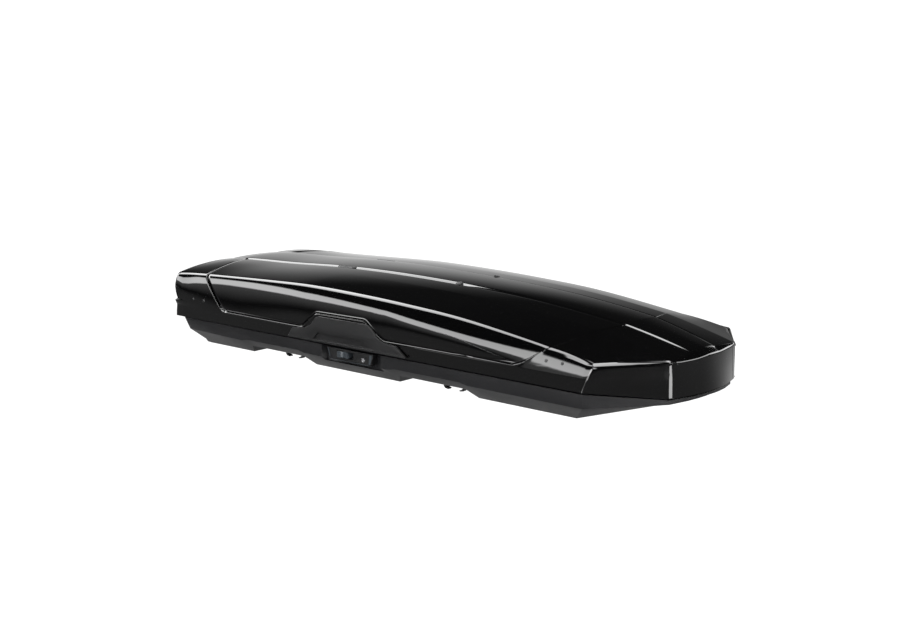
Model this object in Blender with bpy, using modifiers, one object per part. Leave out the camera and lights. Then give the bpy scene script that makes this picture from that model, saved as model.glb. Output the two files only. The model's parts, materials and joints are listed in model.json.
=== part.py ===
"""Roof cargo box: a long, low car roof box whose glossy lid opens from either side.

Metres. +X runs towards the nose, +Y to the car's left and +Z up. The origin is on the
ground under the middle of the box. The right side is at -Y.
"""

import math

import bmesh
import bpy
from mathutils import Matrix, Vector

# ---- driving dimensions -------------------------------------------------------------
HALF_LENGTH = 1.175
HALF_WIDTH = 0.456          # over the lid's skirt
SHELL = 0.003               # wall of the formed lid and tray
GAP = 0.0003                # between pieces that touch
LID_EDGE_Z = 0.114          # lower edge of the lid along the sides
CHIN_Z = 0.078              # lower edge of the lid at the nose
SIDE_CORNER_X = 0.953       # where the side turns into the slanted nose facet
NOSE_CORNER = (1.138, 0.206)
REAR_RADIUS = 0.038

HINGE_Y = 0.445
HINGE_Z = 0.119
HINGE_ROD_R = 0.003
CLAW_STATIONS = (-0.705, -0.131, 0.615)
CLAW_WIDTH = 0.024

RIM_INSET = 0.025           # tray's upright rim, measured in from the lid's outline
BAND_INSET = 0.013          # tray's outer band, measured in from the lid's outline
RIM_TOP_Z = 0.148
RIM_LIP = 0.006             # width of the rim's turned-in lip
CREASE_Z = 0.064
FOOT_Y = 0.375
CHANNEL_Z = 0.034           # height of the crossbar channels under the tray

CLAMP_STATIONS = (-0.530, 0.320)    # crossbar positions
CLAMP_Y = 0.352
JAW_PIVOT_X = 0.019
JAW_PIVOT_Z = 0.052
JAW_WIDTH = 0.018

LOCK_X = (-0.256, -0.006)
LOCK_Z = (0.056, 0.102)
SLIDER_X = -0.1665
SLIDER_TRAVEL = 0.024
KEY_X = -0.057
KEY_Z = 0.074
POCKET_X = (-0.285, 0.033)
POCKET_Z = (0.046, 0.104)
POCKET_Y = 0.413

BEAM_FRONT_X = 0.832
BEAM_REAR_X = -1.006
BEAM_WIDTH = 0.100
RIVET_Z = 0.198
RIVET_SPACING = 0.066
RIVET_HOLE_R = 0.0026
BEAM_SHEET = 0.0015
BEAM_DROP = 0.018           # beam's crown under the lid's ridge
BEAM_PRESS = 0.008          # depth of the pressed channel along a beam

LATCH_Z = (0.0740, 0.0860)  # latch bar, and the slot in the tray it works through
KEY_R = 0.0083
BUTTON_Z = (0.0680, 0.0920)
BUTTON_HALF = 0.029
PIN_R = 0.0025              # lifter pins
POST_HALF = 0.022
HANGER_HALF = 0.018
PLATE = 0.003               # sheet of the lifters' posts and hangers

CLAMP_HALF = (0.085, 0.034)
CLAMP_HEIGHT = 0.034
KNOB_R = 0.027
KNOB_LOBE = 0.002
KNOB_HEIGHT = 0.022
SIDES = ((-1, "right"), (1, "left"))

# ---- small helpers ------------------------------------------------------------------


def clear_scene():
    for old in list(bpy.data.objects):
        bpy.data.objects.remove(old)


def new_collection(name):
    made = bpy.data.collections.new(name)
    bpy.context.scene.collection.children.link(made)
    return made


def paint(name, colour, roughness, metallic=0.0):
    made = bpy.data.materials.new(name)
    made.use_nodes = True
    shader = made.node_tree.nodes["Principled BSDF"]
    shader.inputs["Base Color"].default_value = (*colour, 1.0)
    shader.inputs["Roughness"].default_value = roughness
    shader.inputs["Metallic"].default_value = metallic
    return made


def add(name, mesh, material, smooth=35):
    """Links a finished mesh as one named piece of the box."""
    piece = bpy.data.objects.new(name, mesh)
    BOX.objects.link(piece)
    mesh.materials.clear()
    mesh.materials.append(material)
    mesh.shade_smooth()
    mesh.set_sharp_from_angle(angle=math.radians(smooth))
    return piece


def mesh_of(bm, name):
    mesh = bpy.data.meshes.new(name)
    bm.to_mesh(mesh)
    bm.free()
    return mesh


def modifier(piece, kind, **settings):
    made = piece.modifiers.new(kind.title(), kind)
    for key, value in settings.items():
        setattr(made, key, value)
    return made


def box_bm(low, high):
    bm = bmesh.new()
    bmesh.ops.create_cube(bm, size=1.0)
    size = Vector(high) - Vector(low)
    middle = (Vector(high) + Vector(low)) / 2
    bmesh.ops.scale(bm, vec=size, verts=bm.verts)
    bmesh.ops.translate(bm, vec=middle, verts=bm.verts)
    return bm


def cylinder_bm(centre, radius, length, axis, sides=16):
    """A capped cylinder centred on centre, along the named axis."""
    bm = bmesh.new()
    bmesh.ops.create_cone(bm, cap_ends=True, segments=sides, radius1=radius, radius2=radius,
                          depth=length)
    turn = {"X": Matrix.Rotation(math.pi / 2, 4, "Y"), "Y": Matrix.Rotation(math.pi / 2, 4, "X")}
    if axis in turn:
        bmesh.ops.transform(bm, matrix=turn[axis], verts=bm.verts)
    bmesh.ops.translate(bm, vec=centre, verts=bm.verts)
    return bm


def turned_bm(profile, steps):
    """A profile of (radius, height) turned about Z; it starts and ends on the axis."""
    bm = bmesh.new()
    line = [bm.verts.new((radius, 0, height)) for radius, height in profile]
    for a, b in zip(line, line[1:]):
        bm.edges.new((a, b))
    bmesh.ops.spin(bm, geom=bm.verts[:] + bm.edges[:], cent=(0, 0, 0), axis=(0, 0, 1),
                   angle=math.tau, steps=steps)
    bmesh.ops.remove_doubles(bm, verts=bm.verts, dist=0.00001)
    bmesh.ops.recalc_face_normals(bm, faces=bm.faces)
    return bm


def outline_bm(points, plane, at, depth):
    """A flat outline in the XZ or YZ plane, thickened by depth about the coordinate at."""
    bm = bmesh.new()
    places = {"XZ": lambda a, b, c: (a, c, b),
              "YZ": lambda a, b, c: (c, a, b),
              "XY": lambda a, b, c: (a, b, c)}
    place = places[plane]
    near = [bm.verts.new(place(a, b, at - depth / 2)) for a, b in points]
    face = bm.faces.new(near)
    grown = bmesh.ops.extrude_face_region(bm, geom=[face])
    shift = Vector(place(0, 0, depth))
    far = [v for v in grown["geom"] if isinstance(v, bmesh.types.BMVert)]
    bmesh.ops.translate(bm, vec=shift, verts=far)
    bmesh.ops.recalc_face_normals(bm, faces=bm.faces)
    return bm


def boolean(piece, bm, operation="DIFFERENCE"):
    """Cuts or joins a helper mesh into the piece; the helper itself is not part of the box."""
    helper = bpy.data.objects.new(piece.name + "_" + operation.lower(), mesh_of(bm, "helper"))
    CUTTERS.objects.link(helper)
    helper.hide_render = True
    helper.display_type = "WIRE"
    made = piece.modifiers.new("Boolean", "BOOLEAN")
    made.operation = operation
    made.solver = "EXACT"
    made.object = helper


def arc(centre, radius, start, end, steps):
    """Points on a circle from start to end, in degrees, both included."""
    angles = [math.radians(start + (end - start) * i / steps) for i in range(steps + 1)]
    return [(centre[0] + radius * math.cos(a), centre[1] + radius * math.sin(a)) for a in angles]


def mirrored(points):
    """The same outline on the other side of the box, wound the same way round."""
    return [(-a, b) for a, b in reversed(points)]


def curve_at(knots, x):
    """A smooth curve through a few knots (x, value), read at x."""
    if x <= knots[0][0]:
        return knots[0][1]
    for i in range(len(knots) - 1):
        (x0, v0), (x1, v1) = knots[i], knots[i + 1]
        if x <= x1:
            before = knots[i - 1] if i else knots[0]
            after = knots[i + 2] if i + 2 < len(knots) else knots[-1]
            m0 = (v1 - before[1]) / (x1 - before[0])
            m1 = (after[1] - v0) / (after[0] - x0)
            t, width = (x - x0) / (x1 - x0), x1 - x0
            return (v0 * (1 + 2 * t) * (1 - t) ** 2 + v1 * t * t * (3 - 2 * t)
                    + width * (m0 * t * (1 - t) ** 2 - m1 * t * t * (1 - t)))
    return knots[-1][1]


def mix(a, b, t):
    return a + (b - a) * t


# ---- outlines shared by lid and tray --------------------------------------------------
# The half outline runs from the rear centre, round the rear corner, along the right side,
# round the slanted facet and to the middle of the nose. COLUMNS places the lines that run
# along the top: 0 is the shoulder, FACET_END the nose corner, 1 the groove, 2 the middle.
COLUMNS = (0.0, 0.09, 0.35, 0.624, 0.85, 1.0, 1.5, 2.0)
FACET_END = 0.624


def nose_width(column):
    """Half width on the nose edge of a column, from the groove's end to the middle."""
    if column <= 1:
        return mix(NOSE_CORNER[1], 0.070, (column - FACET_END) / (1 - FACET_END))
    return mix(0.070, 0.0, column - 1)


def inset_corners(inset):
    """Side corner, nose corner and nose tip of the outline moved in by inset."""
    side = Vector((1.0, 0.0))
    facet = Vector((NOSE_CORNER[0] - SIDE_CORNER_X, HALF_WIDTH - NOSE_CORNER[1])).normalized()
    nose = Vector((HALF_LENGTH - NOSE_CORNER[0], NOSE_CORNER[1])).normalized()

    def moved(point, before, after):
        half = (before + after).normalized()
        inward = Vector((-half.y, half.x))
        return point + inward * inset / abs(half.dot(before))

    a = moved(Vector((SIDE_CORNER_X, -HALF_WIDTH)), side, facet)
    b = moved(Vector((NOSE_CORNER[0], -NOSE_CORNER[1])), facet, nose)
    return a, b, HALF_LENGTH - inset


def outline(stations, inset=0.0):
    """Half outline at an inset, one point for each step of the perimeter."""
    a, b, tip = inset_corners(inset)
    radius = max(REAR_RADIUS - inset, 0.016)
    rear = -HALF_LENGTH + inset
    corner = Vector((rear + radius, -(HALF_WIDTH - inset) + radius))
    points = []
    for column in reversed(COLUMNS[1:]):
        share = 1 - max(0.0, (column - COLUMNS[1]) / (2 - COLUMNS[1]))
        points.append(Vector((rear, corner.y * share)))
    points.append(corner + Vector((-1, -1)).normalized() * radius)
    for station in stations[1:]:
        x = mix(corner.x, a.x, (station - stations[1]) / (stations[-1] - stations[1]))
        points.append(Vector((x, a.y)))
    bow = (tip - b.x) / b.y ** 2
    for column in COLUMNS[1:]:
        if column <= FACET_END:
            points.append(a.lerp(b, column / FACET_END))
        else:
            y = -nose_width(column) * abs(b.y) / NOSE_CORNER[1]
            points.append(Vector((tip - bow * y * y, y)))
    return points


def edge_height(point):
    """Height of the lid's lower edge: level along the sides, dipping to the chin."""
    if point.x <= SIDE_CORNER_X:
        return LID_EDGE_Z
    share = min(1.0, (point.x - SIDE_CORNER_X) / (NOSE_CORNER[0] - SIDE_CORNER_X))
    return mix(LID_EDGE_Z, CHIN_Z, share)


def shell_from(rows, top, name, material):
    """A half shell of wall rings and a top or floor patch, mirrored and given its wall.

    rows are rings of the perimeter, from the free edge to the patch; top is the patch as a
    grid whose border is the last ring."""
    bm = bmesh.new()
    ring_count, last = len(rows), len(rows[0]) - 1
    columns = len(top[0]) - 1
    grid = [[bm.verts.new(p) for p in row] for row in rows]
    patch = []
    for i, row in enumerate(top):
        line = []
        for j, point in enumerate(row):
            if i == 0:
                line.append(grid[-1][columns - j])
            elif j == 0:
                line.append(grid[-1][columns + i])
            elif i == len(top) - 1:
                line.append(grid[-1][columns + i + j])
            else:
                line.append(bm.verts.new(point))
        patch.append(line)
    for a in range(ring_count - 1):
        for k in range(last):
            bm.faces.new((grid[a][k], grid[a][k + 1], grid[a + 1][k + 1], grid[a + 1][k]))
    for i in range(len(patch) - 1):
        for j in range(columns):
            bm.faces.new((patch[i][j], patch[i + 1][j], patch[i + 1][j + 1], patch[i][j + 1]))
    bmesh.ops.recalc_face_normals(bm, faces=bm.faces)
    piece = add(name, mesh_of(bm, name), material)
    modifier(piece, "MIRROR", use_axis=(False, True, False), merge_threshold=0.0001)
    return piece


# ---- lid ----------------------------------------------------------------------------
LID_STATIONS = (-1.169, -1.135, -1.070, -0.980, -0.870, -0.740, -0.600, -0.450, -0.300,
                -0.150, 0.0, 0.150, 0.300, 0.440, 0.570, 0.690, 0.800, 0.890, 0.977)
SHOULDER_Z = ((-1.175, 0.290), (-1.020, 0.300), (-0.580, 0.316), (-0.400, 0.320), (-0.150, 0.3155),
              (0.100, 0.306), (0.400, 0.287), (0.747, 0.243), (0.977, 0.211))
SHOULDER_Y = ((-1.175, 0.438), (-1.060, 0.420), (-0.600, 0.408), (0.000, 0.412), (0.500, 0.415),
              (0.977, 0.424))
RIDGE_Z = ((-1.175, 0.318), (-1.040, 0.327), (-0.806, 0.336), (-0.465, 0.350), (-0.085, 0.350),
           (0.330, 0.335), (0.600, 0.314), (0.878, 0.278), (1.007, 0.250), (1.154, 0.213))
RIDGE_Y = ((-1.175, 0.128), (0.315, 0.102), (0.878, 0.092), (1.154, 0.070))
SPINE_CROWN = 0.006
NOSE_EDGE_X = 1.154
NOSE_EDGE_Z = 0.203
TUCK_Z = 0.168


def shoulder_point(x):
    return Vector((x, -curve_at(SHOULDER_Y, x), curve_at(SHOULDER_Z, x)))


def nose_edge_point(column):
    """A point on the top edge of the facet and the nose."""
    start = shoulder_point(LID_STATIONS[-1])
    end = Vector((1.136, -NOSE_CORNER[1], NOSE_EDGE_Z))
    if column <= FACET_END:
        return start.lerp(end, column / FACET_END)
    y = nose_width(column)
    bow = (NOSE_EDGE_X - end.x) / end.y ** 2
    return Vector((NOSE_EDGE_X - bow * y * y, -y, NOSE_EDGE_Z + 0.003 * (column - FACET_END)))


def lid_top_point(station, column):
    """The lid's upper surface, from shoulder to middle."""
    front = nose_edge_point(column)
    first, last = LID_STATIONS[0], LID_STATIONS[-1]
    along = (station - first) / (last - first)
    rear_x = first if column == 0 else -HALF_LENGTH
    x = mix(rear_x, front.x, along)
    side = shoulder_point(station)
    ridge_x = mix(-HALF_LENGTH, NOSE_EDGE_X, along)
    ridge_y, ridge_z = -curve_at(RIDGE_Y, ridge_x), curve_at(RIDGE_Z, ridge_x)
    if column > 1:
        share = column - 1
        top = Vector((x, ridge_y * (1 - share), ridge_z + SPINE_CROWN * share * (2 - share)))
    else:
        crown = mix(0.007, 0.003, along) * 4 * column * (1 - column)
        top = Vector((x, mix(side.y, ridge_y, column), mix(side.z, ridge_z, column) + crown))
    settle = max(0.0, (along - 0.86) / 0.14) ** 2
    return top.lerp(Vector((x, mix(top.y, front.y, along), front.z)), settle)


def lid_rings():
    """Wall rings of the lid, from its lower edge up to the shoulder."""
    top = [[lid_top_point(s, c) for c in COLUMNS] for s in LID_STATIONS]
    crest = top[0][::-1] + [row[0] for row in top[1:]] + top[-1][1:]
    corner = len(COLUMNS) - 1
    crest[corner] = Vector((-1.171, -0.4340, crest[corner].z))
    foot = outline(LID_STATIONS)
    rings = [[], [], [], [], [], [], []]
    for k, (low, high) in enumerate(zip(foot, crest)):
        edge = edge_height(low)
        nose = max(0.0, min(1.0, (low.x - SIDE_CORNER_X + 0.05) / 0.05))
        rear = max(0.0, min(1.0, (-low.x - 0.95) / 0.15))
        flare = -0.0025 * (1 - nose) * (1 - rear)
        waist = Vector((low.x, low.y, 0)) * (1 - 0.020 * rear) + Vector((0, flare, 0))
        waist.z = mix(TUCK_Z, mix(edge, high.z, 0.45), nose)
        rings[0].append(Vector((low.x, low.y, edge)))
        under = mix(waist.z - 0.008, mix(edge, waist.z, 0.8), nose)
        rings[1].append(Vector((low.x, low.y, under)))
        straight = Vector((low.x, low.y, edge)).lerp(high, (waist.z - edge) / (high.z - edge))
        waist = waist.lerp(straight, nose)
        rings[2].append(waist)
        for ring, share in ((3, 0.35), (4, 0.65), (5, 0.88)):
            point = waist.lerp(high, share)
            lean = mix(share ** 2.4, share, nose)
            point.x, point.y = mix(waist.x, high.x, lean), mix(waist.y, high.y, lean)
            rings[ring].append(point)
        rings[6].append(high)
    top[0][0] = crest[corner]
    return rings, top


def lid_wall_y(x, z):
    """Half width of the lid's outer wall on the straight side, at a height above the waist."""
    side = shoulder_point(x)
    share = (z - TUCK_Z) / (side.z - TUCK_Z)
    rear = max(0.0, min(1.0, (-x - 0.95) / 0.15))
    waist = HALF_WIDTH * (1 - 0.020 * rear) + 0.0025 * (1 - rear)
    return mix(waist, -side.y, share ** 2.4)


def make_lid():
    rings, top = lid_rings()
    lid = shell_from(rings, top, "lid_shell", GLOSS)
    modifier(lid, "SOLIDIFY", thickness=SHELL, offset=-1.0, use_even_offset=True)
    for x in rivet_stations():
        boolean(lid, cylinder_bm((x, 0, RIVET_Z), RIVET_HOLE_R, 1.2, "Y", 8))


def rivet_stations():
    beams = (BEAM_REAR_X, BEAM_FRONT_X)
    return [beam + way * RIVET_SPACING / 2 for beam in beams for way in (-1, 1)]


def make_rivets():
    """Blind rivets that hold the feet of the lid's beams; the head lies outside the lid."""
    names = ("rear_outer", "rear_inner", "front_inner", "front_outer")
    for side, label in SIDES:
        for x, name in zip(rivet_stations(), names):
            wall = lid_wall_y(x, RIVET_Z)
            seat = wall + GAP + 0.0006
            profile = [(0.0, wall - 0.0165), (0.0022, wall - 0.0165), (0.0022, seat), (0.0050, seat),
                       (0.0044, wall + 0.0018), (0.0026, wall + 0.0026), (0.0, wall + 0.0026)]
            bm = turned_bm(profile, 10)
            turn = Matrix.Rotation(-side * math.pi / 2, 4, "X")
            bmesh.ops.transform(bm, matrix=Matrix.Translation((x, 0, RIVET_Z)) @ turn, verts=bm.verts)
            add(f"rivet_{label}_{name}", mesh_of(bm, name), STEEL_DARK)


def beam_profile(x):
    """Half of a beam's run inside the lid, from its foot to the middle, as (y, z)."""
    shoulder, ridge = curve_at(SHOULDER_Z, x), curve_at(RIDGE_Z, x)
    narrow = min(lid_wall_y(x + way * BEAM_WIDTH / 2, 0.213) for way in (-1, 1))
    foot = narrow - SHELL - 0.0085
    high = shoulder - 0.030
    waist = min(lid_wall_y(x + way * BEAM_WIDTH / 2, high) for way in (-1, 1))
    return [(-foot, 0.180), (-foot, 0.208), (-waist + 0.010, high),
            (-curve_at(SHOULDER_Y, x) + 0.035, shoulder - 0.014),
            (-curve_at(RIDGE_Y, x), ridge - 0.020), (0.0, ridge - BEAM_DROP)]


def make_beams():
    """Pressed cross beams that stiffen the lid and carry the lifters' hangers."""
    pressed = ((-0.5, 0.0), (-0.18, 0.0), (-0.12, BEAM_PRESS), (0.12, BEAM_PRESS), (0.18, 0.0), (0.5, 0.0))
    for name, x in (("rear", BEAM_REAR_X), ("front", BEAM_FRONT_X)):
        half = beam_profile(x)
        bm = bmesh.new()
        lines = []
        for offset, drop in pressed:
            line = []
            for i, (y, z) in enumerate(half):
                sunk = 0.0 if i < 2 else drop
                line.append(bm.verts.new((x + offset * BEAM_WIDTH, y, z - sunk)))
            lines.append(line)
        for a, b in zip(lines, lines[1:]):
            for i in range(len(half) - 1):
                bm.faces.new((a[i], b[i], b[i + 1], a[i + 1]))
        bmesh.ops.recalc_face_normals(bm, faces=bm.faces)
        beam = add(f"lid_beam_{name}", mesh_of(bm, name), STEEL)
        modifier(beam, "MIRROR", use_axis=(False, True, False), merge_threshold=0.0001)
        modifier(beam, "SOLIDIFY", thickness=BEAM_SHEET, offset=0.0)
        for station in rivet_stations():
            if abs(station - x) < BEAM_WIDTH:
                boolean(beam, cylinder_bm((station, 0, RIVET_Z), RIVET_HOLE_R + 0.0002, 1.2, "Y", 8))


TRIM_OUTLINE = ((-0.449, 0.119), (-0.422, 0.158), (-0.349, 0.165), (-0.315, 0.184), (-0.289, 0.213),
                (-0.273, 0.2200), (-0.019, 0.2200), (0.003, 0.211), (0.039, 0.177), (0.065, 0.165),
                (0.133, 0.158), (0.183, 0.119))
GRIP_OUTLINE = ((-0.303, 0.110), (-0.276, 0.156), (-0.035, 0.156), (0.012, 0.110))


def make_trims():
    """Moulded grips fixed over the lid's skirt, each with a pull recess under it."""
    for side, label in SIDES:
        wall = HALF_WIDTH + 0.0035
        bm = outline_bm(TRIM_OUTLINE, "XZ", side * (wall + 0.0055), 0.011)
        trim = add(f"grip_trim_{label}", mesh_of(bm, label), MOULDED)
        modifier(trim, "BEVEL", width=0.0025, segments=2, limit_method="ANGLE",
                 angle_limit=math.radians(60))
        boolean(trim, outline_bm(GRIP_OUTLINE, "XZ", side * (wall + 0.0070), 0.009))


GROOVE_INSERTS = (("long", -0.469, 0.104), ("short", 0.130, 0.026))


def make_groove_inserts():
    """Caps that close the lid's roof grooves over the fixing points."""
    for side, label in SIDES:
        for name, x, length in GROOVE_INSERTS:
            y = side * curve_at(RIDGE_Y, x)
            bm = box_bm((x - length / 2, y - 0.008, 0.0), (x + length / 2, y + 0.008, 0.004))
            for v in bm.verts:
                v.co.z += 0.0045 + max(lid_height(v.co.x, v.co.y), lid_height(v.co.x, y))
            short = [e for e in bm.edges if e.calc_length() < 0.012]
            bmesh.ops.bevel(bm, geom=short, offset=0.0015, segments=1, affect="EDGES")
            add(f"groove_insert_{name}_{label}", mesh_of(bm, name), MOULDED)


def lid_height(x, y):
    """Height of the lid's upper surface beside the groove."""
    width = abs(y)
    ridge_y, ridge_z = curve_at(RIDGE_Y, x), curve_at(RIDGE_Z, x)
    if width <= ridge_y:
        share = 1 - width / ridge_y
        return ridge_z + SPINE_CROWN * share * (2 - share)
    share = (curve_at(SHOULDER_Y, x) - width) / (curve_at(SHOULDER_Y, x) - ridge_y)
    return mix(curve_at(SHOULDER_Z, x), ridge_z, share) + 0.005 * 4 * share * (1 - share)


# ---- tray ---------------------------------------------------------------------------
FLOOR_Z = ((-1.068, 0.0), (-0.755, 0.0), (-0.725, CHANNEL_Z), (-0.417, CHANNEL_Z), (-0.384, 0.0),
           (0.067, 0.0), (0.100, CHANNEL_Z), (0.417, CHANNEL_Z), (0.451, 0.0), (0.877, 0.0))
POCKET_BLEND = 0.010
TRAY_STATIONS = (-1.068, -1.030, -0.755, -0.725, -0.580, -0.417, -0.384, POCKET_X[0],
                 POCKET_X[0] + POCKET_BLEND, POCKET_X[1] - POCKET_BLEND, POCKET_X[1], 0.067, 0.100, 0.250,
                 0.417, 0.451, 0.665, 0.877)
FLOOR_NOSE_CORNER = Vector((1.068, -0.168, 0.038))
FLOOR_TIP = Vector((1.092, 0.0, 0.050))


def floor_z(x):
    """Height of the tray's underside, with the two crossbar channels."""
    for (x0, z0), (x1, z1) in zip(FLOOR_Z, FLOOR_Z[1:]):
        if x <= x1:
            return mix(z0, z1, max(0.0, (x - x0) / (x1 - x0)))
    return 0.0


def floor_edge(station):
    z = floor_z(station)
    return Vector((station, -mix(FOOT_Y, HALF_WIDTH - BAND_INSET, z / CREASE_Z), z))


def floor_point(station, column):
    """The tray's underside, from its outer edge to the middle."""
    along = (station - TRAY_STATIONS[0]) / (TRAY_STATIONS[-1] - TRAY_STATIONS[0])
    if station == TRAY_STATIONS[-1]:
        corner = floor_edge(station)
        if column <= FACET_END:
            return corner.lerp(FLOOR_NOSE_CORNER, column / FACET_END)
        share = 1 - nose_width(column) / NOSE_CORNER[1]
        bowed = FLOOR_NOSE_CORNER.lerp(FLOOR_TIP, share)
        return bowed + Vector((0.006 * 4 * share * (1 - share), 0, 0))
    edge = floor_edge(station)
    half_width = edge.y * (1 - column / 2) if column else edge.y
    rear = -0.014 * (1 - along) ** 8 * min(1.0, column * 4)
    lift = 0.30 * max(0.0, station - 0.62) ** 2 * (column / 2)
    return Vector((station + rear, half_width, edge.z + lift))


def make_tray():
    patch = [[floor_point(s, c) for c in COLUMNS] for s in TRAY_STATIONS]
    ground = patch[0][::-1] + [row[0] for row in patch[1:]] + patch[-1][1:]
    corner = len(COLUMNS) - 1
    ground[corner] = Vector((-1.062, -0.370, 0.0))
    patch[0][0] = ground[corner]
    insets = (RIM_INSET + RIM_LIP, RIM_INSET, BAND_INSET)
    outlines = {inset: outline(TRAY_STATIONS, inset) for inset in insets}
    first_side, last_side = corner + 1, corner + len(TRAY_STATIONS) - 1
    rings = [[] for _ in range(9)]
    for k, low in enumerate(ground):
        on_side = first_side <= k < last_side
        station = TRAY_STATIONS[k - corner] if on_side else 0.0
        lip, wall, band = (outlines[inset][k].copy() for inset in insets)
        if on_side:
            for point in (band, wall, lip):
                point.x = mix(point.x, station, max(0.0, 1 - abs(station) / 1.02))
                if abs(station) < 0.90:
                    point.x = station
        pocket = 1.0 if on_side and POCKET_X[0] < station < POCKET_X[1] else 0.0
        edge = edge_height(outlines[BAND_INSET][k] + Vector((BAND_INSET, 0)))
        upper = min(POCKET_Z[1], edge - 0.010)
        crease_z = min(CREASE_Z if k > corner else 0.094, mix(low.z, upper, 0.55 if k > corner else 0.9))
        inset = mix(HALF_WIDTH - BAND_INSET, POCKET_Y, pocket)
        sunk = Vector((band.x, -inset if pocket else band.y))
        slope = (POCKET_Z[0] - low.z) / (CREASE_Z - low.z) if on_side else 0.72
        ledge = Vector((low.x, low.y)).lerp(band, slope)
        ledge_z = mix(low.z, crease_z, slope)
        ledge_in = Vector((ledge.x, -POCKET_Y)) if pocket else ledge.lerp(band, 0.10)
        ledge_in_z = ledge_z + 0.001 if pocket else mix(ledge_z, crease_z, 0.10)
        rings[0].append(Vector((lip.x, lip.y, RIM_TOP_Z)))
        rings[1].append(Vector((wall.x, wall.y, RIM_TOP_Z)))
        rings[2].append(Vector((wall.x, wall.y, edge - 0.006)))
        rings[3].append(Vector((band.x, band.y, edge - 0.008)))
        rings[4].append(Vector((sunk.x, sunk.y, upper - 0.001)))
        rings[5].append(Vector((sunk.x, sunk.y, crease_z)))
        rings[6].append(Vector((ledge_in.x, ledge_in.y, ledge_in_z)))
        rings[7].append(Vector((ledge.x, ledge.y, ledge_z)))
        rings[8].append(low.copy())
    tray = shell_from(rings, patch, "base_tray", TEXTURED)
    modifier(tray, "SOLIDIFY", thickness=SHELL, offset=-1.0, use_even_offset=True)
    for side in (-1, 1):
        boolean(tray, box_bm((SLIDER_X - 0.008, side * POCKET_Y - 0.01, LATCH_Z[0]),
                             (SLIDER_X + SLIDER_TRAVEL + 0.008, side * POCKET_Y + 0.01, LATCH_Z[1])))
        for x in CLAMP_STATIONS:
            boolean(tray, box_bm((x - 0.075, side * CLAMP_Y - 0.0115, 0.0),
                                 (x + 0.075, side * CLAMP_Y + 0.0115, 0.06)))


# ---- lock, slider and latch rod -------------------------------------------------------


def make_locks():
    face = HALF_WIDTH - BAND_INSET
    back = POCKET_Y + GAP
    depth = face - back
    for side, label in SIDES:
        middle = side * (face + back) / 2
        shape = [(LOCK_X[0], LOCK_Z[1]), (LOCK_X[0] + 0.023, LOCK_Z[0]),
                 (LOCK_X[1] - 0.016, LOCK_Z[0]), (LOCK_X[1], LOCK_Z[1])]
        bm = outline_bm(shape, "XZ", middle, depth)
        housing = add(f"lock_housing_{label}", mesh_of(bm, label), MOULDED)
        modifier(housing, "BEVEL", width=0.0015, segments=1, limit_method="ANGLE",
                 angle_limit=math.radians(60))
        start, end = SLIDER_X - 0.031, SLIDER_X + SLIDER_TRAVEL + 0.031
        low, high = BUTTON_Z[0] - 0.0015, BUTTON_Z[1] + 0.0015
        slot = [(start, low), (end, low), (end, high), (start, high)]
        boolean(housing, outline_bm(slot, "XZ", middle, depth + 0.02))
        bore = cylinder_bm((KEY_X, side * (face - 0.006), KEY_Z), KEY_R + 0.0004, 0.024, "Y", 20)
        boolean(housing, bore)
        make_button(side, label, back, face)

        bm = cylinder_bm((KEY_X, side * (face - 0.0065), KEY_Z), KEY_R, 0.019, "Y", 20)
        key = add(f"key_cylinder_{label}", mesh_of(bm, label), CHROME)
        boolean(key, box_bm((KEY_X - 0.0008, side * face - 0.003, KEY_Z - 0.0035),
                            (KEY_X + 0.0008, side * face + 0.006, KEY_Z + 0.0035)))
        make_latch_rod(side, label)


def make_button(side, label, back, face):
    """Sliding button with a scooped face for the thumb."""
    near, far = sorted((side * (back + 0.002), side * (face + 0.003)))
    bm = box_bm((SLIDER_X - BUTTON_HALF, near, BUTTON_Z[0]), (SLIDER_X + BUTTON_HALF, far, BUTTON_Z[1]))
    button = add(f"slide_button_{label}", mesh_of(bm, label), SLATE)
    boolean(button, cylinder_bm((SLIDER_X + 0.006, side * (face + 0.021), 0.080), 0.024, 0.050, "Z", 24))


def make_latch_rod(side, label):
    """Flat bar behind the tray wall; its fingers stand beside the hinge claws' tongues."""
    inner, outer = POCKET_Y - SHELL - 0.012, POCKET_Y - SHELL - 0.008

    def block(x0, x1, y0, y1, z0, z1):
        return box_bm((x0, min(side * y0, side * y1), z0), (x1, max(side * y0, side * y1), z1))

    bm = block(CLAW_STATIONS[0] - 0.030, CLAW_STATIONS[-1] + 0.045, inner, outer, *LATCH_Z)
    rod = add(f"latch_rod_{label}", mesh_of(bm, label), STEEL)
    shank = block(SLIDER_X - 0.006, SLIDER_X + 0.006, inner + 0.001, POCKET_Y + 0.0020, 0.0755, 0.0845)
    boolean(rod, shank, "UNION")
    for x in CLAW_STATIONS:
        start = x + CLAW_WIDTH / 2 + 0.0015
        boolean(rod, block(start, start + 0.014, inner, outer, 0.080, 0.1320), "UNION")
        finger = block(start + 0.0005, start + 0.0135, inner + 0.0005, POCKET_Y + 0.006, 0.1240, 0.1315)
        boolean(rod, finger, "UNION")


# ---- hinge rods and claws -------------------------------------------------------------
ROD_BLOCKS = ((-0.785, -0.745), (-0.485, -0.445), (0.215, 0.255), (0.455, 0.495), (0.655, 0.695))


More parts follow.
